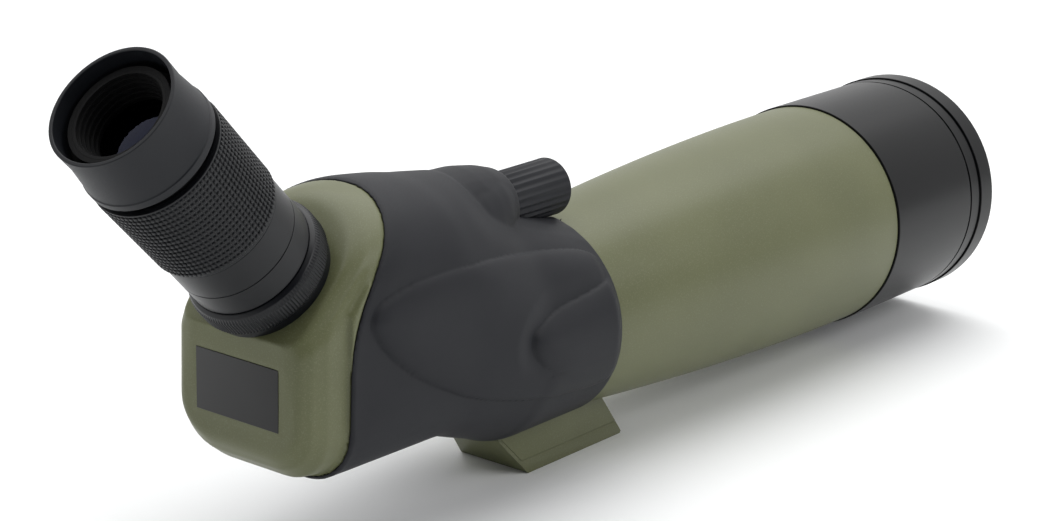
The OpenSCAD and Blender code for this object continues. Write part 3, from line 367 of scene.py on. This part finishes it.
# the dictionaries give sizes in mm, unless a note says otherwise
shade = dict(soft=0.35, grooveWidth=1.1, grooveDepth=0.5, bandWidth=9.6, groovePitch=7.4, bandProud=0.6,
             lipLength=5, boreShare=45.4 / 47.3)  # the bore is a share of the outside
low, high, lip, rim = reach("dew_shield", scopeLine)
wall = rim - shade["bandProud"]
shadeBore = wall * shade["boreShare"]
front = high - shade["bandWidth"]
second = front - shade["groovePitch"]
depth, width = shade["grooveDepth"], shade["grooveWidth"]
data, matrix = turned([
    (lip, low), (wall, low), (wall, second - width), (wall - depth, second - width), (wall - depth, second),
    (wall, second), (wall, front - width), (wall - depth, front - width), (wall - depth, front),
    (rim, front), (rim, high), (shadeBore, high), (shadeBore, low + shade["lipLength"]),
    (lip, low + shade["lipLength"])],
    scopeLine, shade["soft"], 256, inside=lambda r, x: r < wall - 1.2 and x < high - 3)
addPiece("sunshade", data, ["blackAnodised", "opticalBlack"], "shade", "dew_shield", matrix=matrix)

barrel = dict(soft=0.5, wall=3.0, points=48, spigotStep=3.9, guideWall=2, guideLap=8, seamGap=0.35,
              leastOutside=36, ringGap=3, bends=5)  # the taper is a curve of so many bends through its rings
along, across = alongAndAcross(nodePoints("barrel"), scopeLine)
back, mouth, boreMin = along.min(), along.max(), across.min()
shoulderX = reach("rubber_armour", scopeLine)[1]
seamX = reach("dew_shield", scopeLine)[0] - barrel["seamGap"]
outer = {}
for x, r in zip(np.round(along, 2), across):
    if shoulderX - 0.1 <= x <= seamX + 0.1:
        outer[x] = max(outer.get(x, 0), r)
xs = np.array(sorted(x for x in outer if outer[x] > barrel["leastOutside"]))
rs = np.array([outer[x] for x in xs])
apart = np.r_[True, np.diff(xs) > barrel["ringGap"]]
fit = np.polyfit(xs[apart], rs[apart], barrel["bends"])
guide = across[along > seamX + 20].max()  # radius of the tube that the sunshade slides on
curve = [(float(np.polyval(fit, x)), float(x)) for x in np.linspace(xs[0], seamX, barrel["points"])]
inner = [(r - barrel["wall"], x) for r, x in curve[::-1]]
spigot, guideBore = curve[0][0] - barrel["spigotStep"], guide - barrel["guideWall"]
data, matrix = turned([(boreMin + 1, back), (spigot, back), (spigot, xs[0])] + curve
                      + [(guide, seamX), (guide, mouth), (guideBore, mouth),
                         (guideBore, seamX + barrel["guideLap"])] + inner,
                      scopeLine, barrel["soft"], 256,
                      inside=lambda r, x: r < np.polyval(fit, min(x, seamX)) - 1 or x > seamX + 1)
addPiece("barrelTube", data, ["oliveEnamel", "opticalBlack"], "base", "barrel", matrix=matrix)
print("sunshade and barrel made")


collar = dict(ribs=132, ribDepth=0.32, soft=0.25, chamfer=1.2, shoulder=3, topRadius=22.4)
low, high, bore, rim = reach("lock_collar", eyeLine)


# fine ribs, only round the widest band
def collarRibs(angle, radius, place):
    onBand = (radius > rim - 0.6) & (place > low + 0.9) & (place < high - 2.2)
    return onBand * -collar["ribDepth"] * (0.5 - 0.5 * np.cos(angle * collar["ribs"])) ** 0.8


data, matrix = turned([(bore, low), (rim - collar["chamfer"], low), (rim, low + collar["chamfer"]),
                       (rim, high - collar["shoulder"]), (rim - 0.9, high - 1), (collar["topRadius"], high),
                       (bore, high)], eyeLine, collar["soft"], collar["ribs"] * 8, shape=collarRibs)
addPiece("lockCollar", data, "turnedAnodised", "collar", "lock_collar", matrix=matrix)

lower = dict(soft=0.3, linePlace=9.7, lineWidth=0.4, lineDepth=0.25, wall=2)
low, high, _, rim = reach("lower_barrel", eyeLine)
lineLow = low + lower["linePlace"]
lineHigh, lineFloor = lineLow + lower["lineWidth"], rim - lower["lineDepth"]
inside = rim - lower["wall"]
data, matrix = turned([(inside, low), (rim, low), (rim, lineLow), (lineFloor, lineLow),
                       (lineFloor, lineHigh), (rim, lineHigh), (rim, high), (inside, high)],
                      eyeLine, lower["soft"])
addPiece("lowerRing", data, "turnedAnodised", "base", "lower_barrel", matrix=matrix)

# a stud's length and width are shares of the pitch, and its steps give height and width in shares
grip = dict(rows=17, columns=88, studLength=0.62, studWidth=0.7, studHeight=0.5, edge=0.9, taper=0.5,
            soft=0.2, steps=((-0.1, 1.0), (0.62, 0.93), (0.93, 0.78), (1.0, 0.55)))
low, high, bore, rim = reach("zoom_grip", eyeLine)
lowRim = rim - grip["taper"]


# radius over the studs' tops at a place along the grip, which widens a little upwards
def gripSkin(place):
    share = (place - low) / (high - low)
    return lowRim + (rim - lowRim) * share


# rows of square studs round the grip, each in steps that narrow to its top
def studs():
    points, faces = [], []
    levels = len(grip["steps"]) - 1
    pitch = (high - low - 2 * grip["edge"]) / grip["rows"]
    turn = 2 * math.pi / grip["columns"]
    for row in range(grip["rows"]):
        for column in range(grip["columns"]):
            start = len(points)
            middle = low + grip["edge"] + pitch * (row + 0.5)
            theta = turn * column
            for lift, share in grip["steps"]:
                radius = gripSkin(middle) - grip["studHeight"] * (1 - lift)
                for sideways, lengthways in ((-1, -1), (1, -1), (1, 1), (-1, 1)):
                    a = theta + sideways * share * turn * grip["studWidth"] / 2
                    s = middle + lengthways * share * pitch * grip["studLength"] / 2
                    points.append((radius * math.cos(a) * mm, radius * math.sin(a) * mm, s * mm))
            for level in range(levels):
                for k in range(4):
                    i, j = start + level * 4 + k, start + level * 4 + (k + 1) % 4
                    faces.append((i, j, j + 4, i + 4))
            faces.append(tuple(start + levels * 4 + k for k in range(4)))
    return points, faces


lowFloor, highFloor = lowRim - grip["studHeight"], rim - grip["studHeight"]
cuff = rim - grip["studHeight"] * 0.4  # a plain band above the studs
data, matrix = turned([(bore, low), (lowFloor, low), (lowFloor, low + grip["edge"]),
                       (highFloor, high - grip["edge"]), (cuff, high - grip["edge"] * 0.6), (cuff, high),
                       (bore, high)], eyeLine, grip["soft"])
points, faces = studs()
studData = bpy.data.meshes.new("studs")
studData.from_pydata(points, [], faces)
bm = bmesh.new()
bm.from_mesh(data)
bm.from_mesh(studData)
for face in bm.faces:
    face.smooth = True
bm.to_mesh(data)
bm.free()
addPiece("zoomGripSleeve", data, "grippyRubber", "zoom", "zoom_grip", matrix=matrix)

cup = dict(soft=0.3, baseBand=2.6, baseStep=0.35, wall=1.4, waist=0.62, waistIn=0.2)
low, high, bore, rim = reach("eyecup", eyeLine)
top = alongAndAcross(nodePoints("eyecup"), eyeLine)
rimTop = top[1][top[0] > high - 1].max()  # the lip flares a little
sleeveTop = reach("eyecup_sleeve", eyeLine)[1]
bandTop, inside = low + cup["baseBand"], rimTop - cup["wall"]
data, matrix = turned([(bore, low), (rim, low), (rim, bandTop),
                       (rim - cup["baseStep"], bandTop + cup["baseStep"]),
                       (rimTop - cup["waistIn"], low + (high - low) * cup["waist"]), (rimTop, high),
                       (inside, high), (inside - 0.25, sleeveTop + 1.2), (bore, sleeveTop + 1)],
                      eyeLine, cup["soft"])
addPiece("eyecupShell", data, "smoothRubber", "cup", "eyecup", matrix=matrix)

ridges = dict(steps=6, soft=0.12, topWall=0.9, undercut=0.25)
low, high, bore, rim = reach("eye_lens_ring", eyeLine)
outline = [(rim, low)]
for i in range(ridges["steps"]):  # stepped light trap: each step is wider than the one below
    r = bore + (rim - ridges["topWall"] - bore) * i / (ridges["steps"] - 1)
    s0 = low + (high - low) * i / ridges["steps"]
    s1 = low + (high - low) * (i + 1) / ridges["steps"]
    outline += [(r, s0), (r, s0 + (s1 - s0) * 0.55), (r - ridges["undercut"], s0 + (s1 - s0) * 0.7),
                (r - ridges["undercut"], s1 - 0.05)]
outline += [(rim, high)]
data, matrix = turned(outline, eyeLine, ridges["soft"])
addPiece("eyeLensRing", data, "opticalBlack", "base", "eye_lens_ring", matrix=matrix)
print("eyepiece made")


knob = dict(flutes=24, fluteDepth=0.95, soft=0.6, chamfer=1.2, capRadius=7.2, capSink=1.8, boreRadius=3.0)
low, high, _, rim = reach("focus_knob", knobLine)


# flutes that run out before the front edge
def knobFlutes(angle, radius, place):
    fade = np.clip((high - 2.2 - place) / 1.6, 0, 1) * (radius > rim - 1.5)
    wave = 0.5 - 0.5 * np.cos(angle * knob["flutes"])
    return -fade * knob["fluteDepth"] * wave ** 0.75


capFloor = high - knob["capSink"]
data, matrix = turned([(knob["boreRadius"], low), (rim, low), (rim, high - 2.4),
                       (rim, high - knob["chamfer"]), (rim - knob["chamfer"], high),
                       (knob["capRadius"], high), (knob["capRadius"], capFloor),
                       (knob["boreRadius"], capFloor)],
                      knobLine, knob["soft"], knob["flutes"] * 16, shape=knobFlutes)
addPiece("focusKnobSleeve", data, "softTouchRubber", "knob", "focus_knob", matrix=matrix)
print("focus knob made")


# the body's skin is one smooth form over both castings, parted along the edge of the rubber
skin = dict(voxel=0.8, rounds=30, broadRounds=160, seamRound=16, rubberProud=0.35, rubberWall=1.0,
            rubberEdge=1.1, castingWall=1.4, seamDip=0.5, rubberDip=0.1, seatPlug=19.5, shaftPlug=9,
            channel=11.35,  # radius kept free round the knob
            lipRadius=15.5, lipFade=5, podRadius=24, podFade=4, podLength=40, hold=0.85,  # kept crisp
            sweepBack=-146, drumBack=-53,  # where the neck's sweep and the round front begin
            flatMiddle=65, flatTall=17, flatWide=22,  # the rear face: its middle's height and its half sizes
            neck=[(-102, 90.4, 33.4), (-79, 88.6, 32.4), (-68, 97, 22.5), (-46, 72, 31.2), (-46, 53, 38.2),
                  (-7, 53, 38.2)],  # x, z, radius
            # pod, from its front: how far back, how far above the knob's axis, half width, half height
            egg=[(0, 0, 12.6, 12.2), (3, 0, 15, 13.6), (8, 0, 17.4, 14.8), (15, 0.2, 18.8, 15),
                 (22, 0.6, 19.4, 14.6), (30, 1, 18.6, 13.4), (36, 1.6, 16, 11), (41, 2, 11.5, 8),
                 (44, 2, 6, 4)])
backX, frontX = reach("rubber_armour", scopeLine)[:2]
seamS = reach("rubber_armour", eyeLine)[1]
armourPoints = nodePoints("rubber_armour")
nearFront = (armourPoints[:, 0] / mm > frontX - 1) & (armourPoints[:, 2] < scopeLine[0].z)
frontRadius = alongAndAcross(armourPoints[nearFront], scopeLine)[1].max()
podFront = reach("focus_knob", knobLine)[0] + knobLine[0].x / mm - 0.5


# a plug along a line, for the union that the skin is drawn over
def addTube(bm, line, start, end, radius, sides=96):
    turn = line[1].to_track_quat("Z", "Y").to_matrix().to_4x4()
    middle = line[0] + line[1] * ((start + end) / 2 * mm)
    bmesh.ops.create_cone(bm, cap_ends=True, segments=sides, radius1=radius * mm, radius2=radius * mm,
                          depth=(end - start) * mm, matrix=Matrix.Translation(middle) @ turn)


bm = bmesh.new()
for node in ("body_shell", "rear_housing", "rubber_armour"):
    bm.from_mesh(frame["nodes"][node].data)
addTube(bm, scopeLine, frontX - 12, frontX + 24, frontRadius)  # carries the front on, to be cut square
seatTop = reach("rear_housing", eyeLine)[1]
addTube(bm, eyeLine, seatTop - 14, seatTop, skin["seatPlug"])  # closes the eyepiece's bore
shaftEnd = podFront - knobLine[0].x / mm - 0.2
addTube(bm, knobLine, -30, shaftEnd, skin["shaftPlug"])  # closes the shaft's bore
neck = [(x, z, radius, radius) for x, z, radius in skin["neck"]]
egg = [(podFront - back, knobLine[0].z / mm + rise, wide, tall) for back, rise, wide, tall in skin["egg"]]
for discs in (neck[:5], neck[3:], egg):  # fills the neck out under the pod, and the pod itself
    rims = [bm.verts.new((x * mm, wide * math.cos(t) * mm, (z + tall * math.sin(t)) * mm))
            for x, z, wide, tall in discs for t in np.linspace(0, 2 * math.pi, 72, endpoint=False)]
    hull = bmesh.ops.convex_hull(bm, input=rims)
    within = [v for v in hull["geom_interior"] if isinstance(v, bmesh.types.BMVert)]
    bmesh.ops.delete(bm, geom=within, context="VERTS")
labelLow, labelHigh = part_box("label_plate")
labelSize = labelHigh - labelLow + Vector((0, 0.002, 0.002))  # fills the plate's recess
bmesh.ops.create_cube(bm, size=1, matrix=Matrix.Translation((labelLow + labelHigh) / 2)
                      @ Matrix.Diagonal((*labelSize, 1)))
raw = bpy.data.meshes.new("rawSkin")
bm.to_mesh(raw)
bm.free()
draft = bpy.data.objects.new("draft", raw)
bpy.context.scene.collection.objects.link(draft)
voxels = draft.modifiers.new("voxels", "REMESH")
voxels.mode, voxels.voxel_size = "VOXEL", skin["voxel"] * mm
settled(draft)
mesh = draft.data
count = len(mesh.vertices)
points = np.zeros(count * 3)
mesh.vertices.foreach_get("co", points)
points = points.reshape(-1, 3) / mm
edges = np.zeros(len(mesh.edges) * 2, int)
mesh.edges.foreach_get("vertices", edges)
a, b = edges.reshape(-1, 2).T
print("skin meshed,", count, "points")

label = np.arange(count)  # keeps only the outermost of the closed surfaces
while True:
    before = label.copy()
    np.minimum.at(label, a, label[b])
    np.minimum.at(label, b, label[a])
    label = label[label]
    if (label == before).all():
        break
outermost = label == label[points[:, 2].argmin()]

knobZ, scopeZ = knobLine[0].z / mm, scopeLine[0].z / mm
neighbours = (np.bincount(a, minlength=count) + np.bincount(b, minlength=count))[:, None]


# moves every point towards the mean of its neighbours, once for each pull
def relax(form, pulls, hold):
    for pull in pulls:
        total = [np.bincount(a, form[b, k], count) + np.bincount(b, form[a, k], count) for k in range(3)]
        form = form + pull * hold * (np.stack(total, 1) / neighbours - form)
    return form


def eased(value):
    t = np.clip(value, 0, 1)
    return t * t * (3 - 2 * t)


# sculpts the long sweep of the neck: a broad smoothing that keeps the size, faded out over the rear
# casting, the front edge and the pod's lip, then a fine one over everything but the lip
x, fromKnob = points[:, 0], np.hypot(points[:, 1], points[:, 2] - knobZ)
besideLip = np.clip(1 - np.abs(x - podFront) / skin["lipFade"], 0, 1)
nearLip = (besideLip * (fromKnob < skin["lipRadius"]))[:, None]
onPod = (eased((skin["podRadius"] - fromKnob) / skin["podFade"])
         * eased((x - podFront + skin["podLength"]) / 9))
onNeck = eased((x - skin["sweepBack"]) / 16) * eased((frontX - 3 - x) / 10)
broad = (onNeck * (1 - skin["hold"] * onPod))[:, None] * (1 - nearLip)
soft = relax(points, [0.6] * skin["broadRounds"], 1.0)
points = points + broad * (2 * soft - relax(soft, [0.6] * skin["broadRounds"], 1.0) - points)
points = relax(points, [0.5, -0.52] * skin["rounds"], 1 - skin["hold"] * nearLip)

# under the foot's cut-out and round the knob the form goes back to its true radius
rel = points[:, 1:] - (0, scopeZ)
radius = np.linalg.norm(rel, axis=1)
below = (points[:, 0] > skin["drumBack"]) & (points[:, 2] < scopeZ - 4) & (radius > frontRadius - 6)
held = eased((points[:, 0] - skin["drumBack"]) / 10)[:, None]
points[below, 1:] += (held * (rel / radius[:, None] * frontRadius + (0, scopeZ) - points[:, 1:]))[below]
rel = points[:, 1:] - (0, knobZ)
radius = np.linalg.norm(rel, axis=1)
inChannel = (points[:, 0] > podFront + 0.5) & (radius < skin["channel"]) & (radius > skin["channel"] - 4)
points[inChannel, 1:] = (rel / np.maximum(radius, 0.01)[:, None] * skin["channel"])[inChannel] + (0, knobZ)

onRear = (outermost & (points[:, 0] < labelLow.x / mm + 3) & (np.abs(points[:, 1]) < skin["flatWide"])
          & (np.abs(points[:, 2] - skin["flatMiddle"]) < skin["flatTall"]))
rearFace = np.polyfit(points[onRear, 2], points[onRear, 0], 1)  # lean of the flat rear face, x over z

# grip relief on both flanks: a long raised leaf with a second swell at its front, outlines as (x, z) in mm
relief = dict(
    leaf=[(-139.5, 88.8), (-134, 94.6), (-117, 97.6), (-97, 97.6), (-73, 95.4), (-48, 90.9), (-27, 87.2),
          (-14, 84), (-6, 79.5), (-2, 70), (-2, 45), (-10, 36.5), (-37.7, 38.2), (-54.6, 40.8),
          (-75.8, 45.9), (-89.3, 50.6), (-101.5, 56.1), (-112.6, 62.2), (-121.3, 67.9), (-129.9, 74.9),
          (-136.5, 82.1)],
    lobe=[(-3, 74.5), (-11, 73.3), (-19, 72.3), (-28.8, 71.5), (-41.1, 70.4), (-51.7, 68.4), (-57.8, 66.2),
          (-59.3, 62.8), (-57.7, 58.1), (-52.9, 53.5), (-46, 49.7), (-35.5, 45.8), (-21.4, 41.7),
          (-9.1, 38.9), (3, 37), (6, 55)],
    leafHeight=3.0, leafWidth=13, valley=1.7, valleyWidth=10, lobeHeight=2.8, lobeWidth=9,
    fadeLow=42, fadeHigh=64)  # the relief dies away between these heights


# closed smooth curve through the outline's points
def smoothLoop(outline, parts=8):
    p = np.array(outline, float)
    q = [np.roll(p, k, 0) for k in (1, 0, -1, -2)]
    out = []
    for t in np.arange(parts) / parts:
        out.append(0.5 * (2 * q[1] + (q[2] - q[0]) * t + (2 * q[0] - 5 * q[1] + 4 * q[2] - q[3]) * t * t
                          + (3 * q[1] - q[0] - 3 * q[2] + q[3]) * t ** 3))
    return np.stack(out, 1).reshape(-1, 2)


# distance to a closed loop, positive inside it
def insideDistance(flat, loop):
    nearest = np.full(len(flat), 1e9)
    within = np.zeros(len(flat), bool)
    for start, end in zip(loop, np.roll(loop, -1, 0)):
        run = end - start
        t = np.clip(((flat - start) @ run) / (run @ run + 1e-12), 0, 1)
        nearest = np.minimum(nearest, np.linalg.norm(flat - start - t[:, None] * run, axis=1))
        crosses = (start[1] > flat[:, 1]) != (end[1] > flat[:, 1])
        if abs(run[1]) > 1e-9:
            within ^= crosses & (flat[:, 0] < run[0] * (flat[:, 1] - start[1]) / run[1] + start[0])
    return np.where(within, nearest, -nearest)


mesh.vertices.foreach_set("co", (points * mm).ravel())
mesh.update()
normals = np.zeros(count * 3)
mesh.vertices.foreach_get("normal", normals)
normals = normals.reshape(-1, 3)
flank = outermost & (np.abs(points[:, 1]) > 12) & (points[:, 0] > -150) & (points[:, 0] < frontX + 8)
flat = points[flank][:, [0, 2]]
leafIn = insideDistance(flat, smoothLoop(relief["leaf"]))
lobeIn = insideDistance(flat, smoothLoop(relief["lobe"]))
upper = eased((flat[:, 1] - relief["fadeLow"]) / (relief["fadeHigh"] - relief["fadeLow"]))


# a pillow's rise: steep at its outline, then flattening over width mm
def pillow(inside, width):
    return np.sqrt(1 - (1 - np.clip(inside / width, 0, 1)) ** 2)


valley = relief["valley"] * upper * np.where(lobeIn < 0, eased(1 + lobeIn / relief["valleyWidth"]), 1)
lobe = relief["lobeHeight"] * upper * pillow(lobeIn, relief["lobeWidth"])
height = relief["leafHeight"] * pillow(leafIn, relief["leafWidth"]) - valley + lobe
facing = eased((np.abs(normals[flank, 1]) - 0.25) / 0.5) * eased((frontX + 1 - flat[:, 0]) / 9)
points[flank] += normals[flank] * (height * facing)[:, None]
mesh.vertices.foreach_set("co", (points * mm).ravel())
mesh.update()
print("grip relief raised")


# how far a point lies past the rubber's rear edge, in mm: two planes with a rounded corner between them
def pastSeam(place):
    behind = backX - place[..., 0]
    above = (place - np.array(eyeLine[0]) / mm) @ np.array(eyeLine[1]) - seamS
    blend = np.clip(skin["seamRound"] - np.abs(behind - above), 0, None) / skin["seamRound"]
    return np.maximum(behind, above) + blend ** 2 * skin["seamRound"] / 4


# splits every edge that crosses the zero of a field, after drawing near points onto it, and joins
# the points on it across each face
def cutAlong(bm, field):
    place = np.array([tuple(v.co) for v in bm.verts]) / mm
    worth = field(place)
    slope = np.stack([field(place + step) - worth for step in np.eye(3) * 0.01], 1) / 0.01
    near = np.abs(worth) < 0.2
    place[near] -= (worth[:, None] * slope / np.maximum((slope ** 2).sum(1), 0.01)[:, None])[near]
    value = {}
    for v, spot, w, close in zip(list(bm.verts), place, worth, near):
        value[v] = 0.0 if close else float(w)
        if close:
            v.co = spot * mm
    line = [v for v in bm.verts if value[v] == 0]
    for edge in list(bm.edges):
        p, q = edge.verts
        if value[p] * value[q] < 0:
            made = bmesh.utils.edge_split(edge, p, value[p] / (value[p] - value[q]))[1]
            value[made] = 0.0
            line.append(made)
    bmesh.ops.connect_verts(bm, verts=line)


bm = bmesh.new()
bm.from_mesh(mesh)
bm.verts.ensure_lookup_table()
bmesh.ops.delete(bm, geom=[bm.verts[i] for i in np.nonzero(~outermost)[0]], context="VERTS")
bmesh.ops.delete(bm, geom=[v for v in bm.verts if v.co.x / mm > frontX + 3], context="VERTS")
cutAlong(bm, lambda p: p[..., 0] - frontX)
bmesh.ops.delete(bm, geom=[f for f in bm.faces if f.calc_center_median().x / mm > frontX], context="FACES")
cutAlong(bm, pastSeam)
whole = bpy.data.meshes.new("wholeSkin")
bm.to_mesh(whole)
bm.free()
bpy.data.objects.remove(draft)


# one side of the parted skin, with its edge eased in and a wall behind it
def skinPart(name, finish, body, node, wantPast, proud, dip, wall):
    bm = bmesh.new()
    bm.from_mesh(whole)
    others = [f for f in bm.faces if (pastSeam(np.array(f.calc_center_median()) / mm) > 0) != wantPast]
    bmesh.ops.delete(bm, geom=others, context="FACES")
    bmesh.ops.delete(bm, geom=[v for v in bm.verts if not v.link_faces], context="VERTS")
    bm.normal_update()
    moved = []
    for v in bm.verts:
        place = np.array(v.co) / mm
        edgeGap = abs(pastSeam(place))
        if not wantPast:
            edgeGap = min(edgeGap, frontX - place[0])
        ease = eased(edgeGap / skin["rubberEdge"])
        moved.append(v.normal * ((proud * ease - dip * (1 - ease)) * mm))
    for v, move in zip(bm.verts, moved):
        v.co += move
    for face in bm.faces:
        face.smooth = True
    data = bpy.data.meshes.new(name)
    bm.to_mesh(data)
    bm.free()
    piece = addPiece(name, data, finish, body, node)
    shell = piece.modifiers.new("wall", "SOLIDIFY")
    shell.thickness, shell.offset = wall * mm, -1
    return settled(piece)


skinPart("rubberSkin", "softTouchRubber", "base", "rubber_armour", False,
         skin["rubberProud"], skin["rubberDip"], skin["rubberWall"])
skinPart("rearCasting", "oliveEnamel", "base", "rear_housing", True,
         0.0, skin["seamDip"], skin["castingWall"])
print("body skin made")


foot = dict(blockEdge=0.7, plateEdge=0.5, blankEdge=0.25, blankProud=0.3)  # rounds of the hard edges, mm
softened("footBlock", "foot_saddle", "oliveEnamel", "base", foot["blockEdge"])
softened("footPlate", "mounting_plate", "oliveEnamel", "base", foot["plateEdge"])
blank = softened("blankPlate", "label_plate", "texturedPlastic", "base", foot["blankEdge"])
for v in blank.data.vertices:  # lies on the casting's leaning rear face
    v.co.x += (rearFace[0] * v.co.z / mm + rearFace[1]) * mm - labelLow.x - foot["blankProud"] * mm
print("foot and blank plate made")


low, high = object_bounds()
studio = dict(floorSize=14.0, floorColour="#f8f9f9",  # floor and lamps in metres
              skyBright="#ffffff", skyDim="#2e2f34", skyStrength=0.94,
              dimTowards=(-0.6, -0.8, 0.0), dimFrom=-0.35, dimTo=0.75, topWatts=20, sideWatts=8.5)
bm = bmesh.new()
bmesh.ops.create_grid(bm, x_segments=1, y_segments=1, size=studio["floorSize"] / 2,
                      matrix=Matrix.Translation((0, 0, low.z - 0.0002)))
data = bpy.data.meshes.new("floor")
bm.to_mesh(data)
bm.free()
floor = bpy.data.objects.new("floor", data)
bpy.context.scene.collection.objects.link(floor)
floorFinish = bpy.data.materials.new("paperSweep")  # matt white paper: no reflection, only soft shadow
floorFinish.use_nodes = True
paper = floorFinish.node_tree.nodes["Principled BSDF"]
paper.inputs["Base Color"].default_value = linear(studio["floorColour"])
paper.inputs["Roughness"].default_value = 0.9
data.materials.append(floorFinish)

world = bpy.data.worlds.new("studioSky")
world.use_nodes = True
sky = world.node_tree
heading = addNode(sky, "VectorMath", {"operation": "DOT_PRODUCT", 1: studio["dimTowards"]},
                  {0: addNode(sky, "TexCoord").outputs["Generated"]})
share = addNode(sky, "MapRange", {"From Min": studio["dimFrom"], "From Max": studio["dimTo"]},
                {"Value": heading.outputs["Value"]})
# a dark studio wall on the near side gives the blacks their depth
tint = addNode(sky, "Mix", {"data_type": "RGBA", 6: linear(studio["skyBright"]),
                            7: linear(studio["skyDim"])}, {0: share.outputs["Result"]})
sky.links.new(tint.outputs[2], sky.nodes["Background"].inputs["Color"])
sky.nodes["Background"].inputs["Strength"].default_value = studio["skyStrength"]
bpy.context.scene.world = world
bpy.context.scene.view_settings.view_transform = "Standard"  # keeps the paper white and the blacks deep


# a soft box at a place, looking at a target
def addLamp(name, place, target, size, power):
    lamp = bpy.data.lights.new(name, "AREA")
    lamp.shape, lamp.size, lamp.size_y = "RECTANGLE", size[0], size[1]
    lamp.energy = power
    holder = bpy.data.objects.new(name, lamp)
    bpy.context.scene.collection.objects.link(holder)
    turn = (Vector(target) - Vector(place)).to_track_quat("-Z", "Y")
    holder.matrix_world = Matrix.Translation(place) @ turn.to_matrix().to_4x4()


middle = (low + high) / 2
addLamp("topBox", (0.35, 0.25, 1.4), middle, (2.0, 1.6), studio["topWatts"])
addLamp("sideBox", (0.35, -1.3, 1.0), middle, (1.4, 0.7), studio["sideWatts"])

# from behind on the scope's right, a little above it: lens in mm, place in metres, angles in degrees
view = dict(lens=94.84, sensor=36.0, place=(-0.7807, -0.5846, 0.3706), heading=-52.52, tilt=-17.04, roll=2.03)
camera = bpy.data.cameras.new("camera")
camera.sensor_width, camera.lens = view["sensor"], view["lens"]
camera.clip_start, camera.clip_end = 0.02, 50
cameraHolder = bpy.data.objects.new("camera", camera)
bpy.context.scene.collection.objects.link(cameraHolder)
cameraHolder.matrix_world = (Matrix.Translation(view["place"])
                             @ Matrix.Rotation(math.radians(view["heading"]), 4, "Z")
                             @ Matrix.Rotation(math.radians(90 + view["tilt"]), 4, "X")
                             @ Matrix.Rotation(math.radians(view["roll"]), 4, "Z"))
bpy.context.scene.camera = cameraHolder
print("stage, light and camera set")
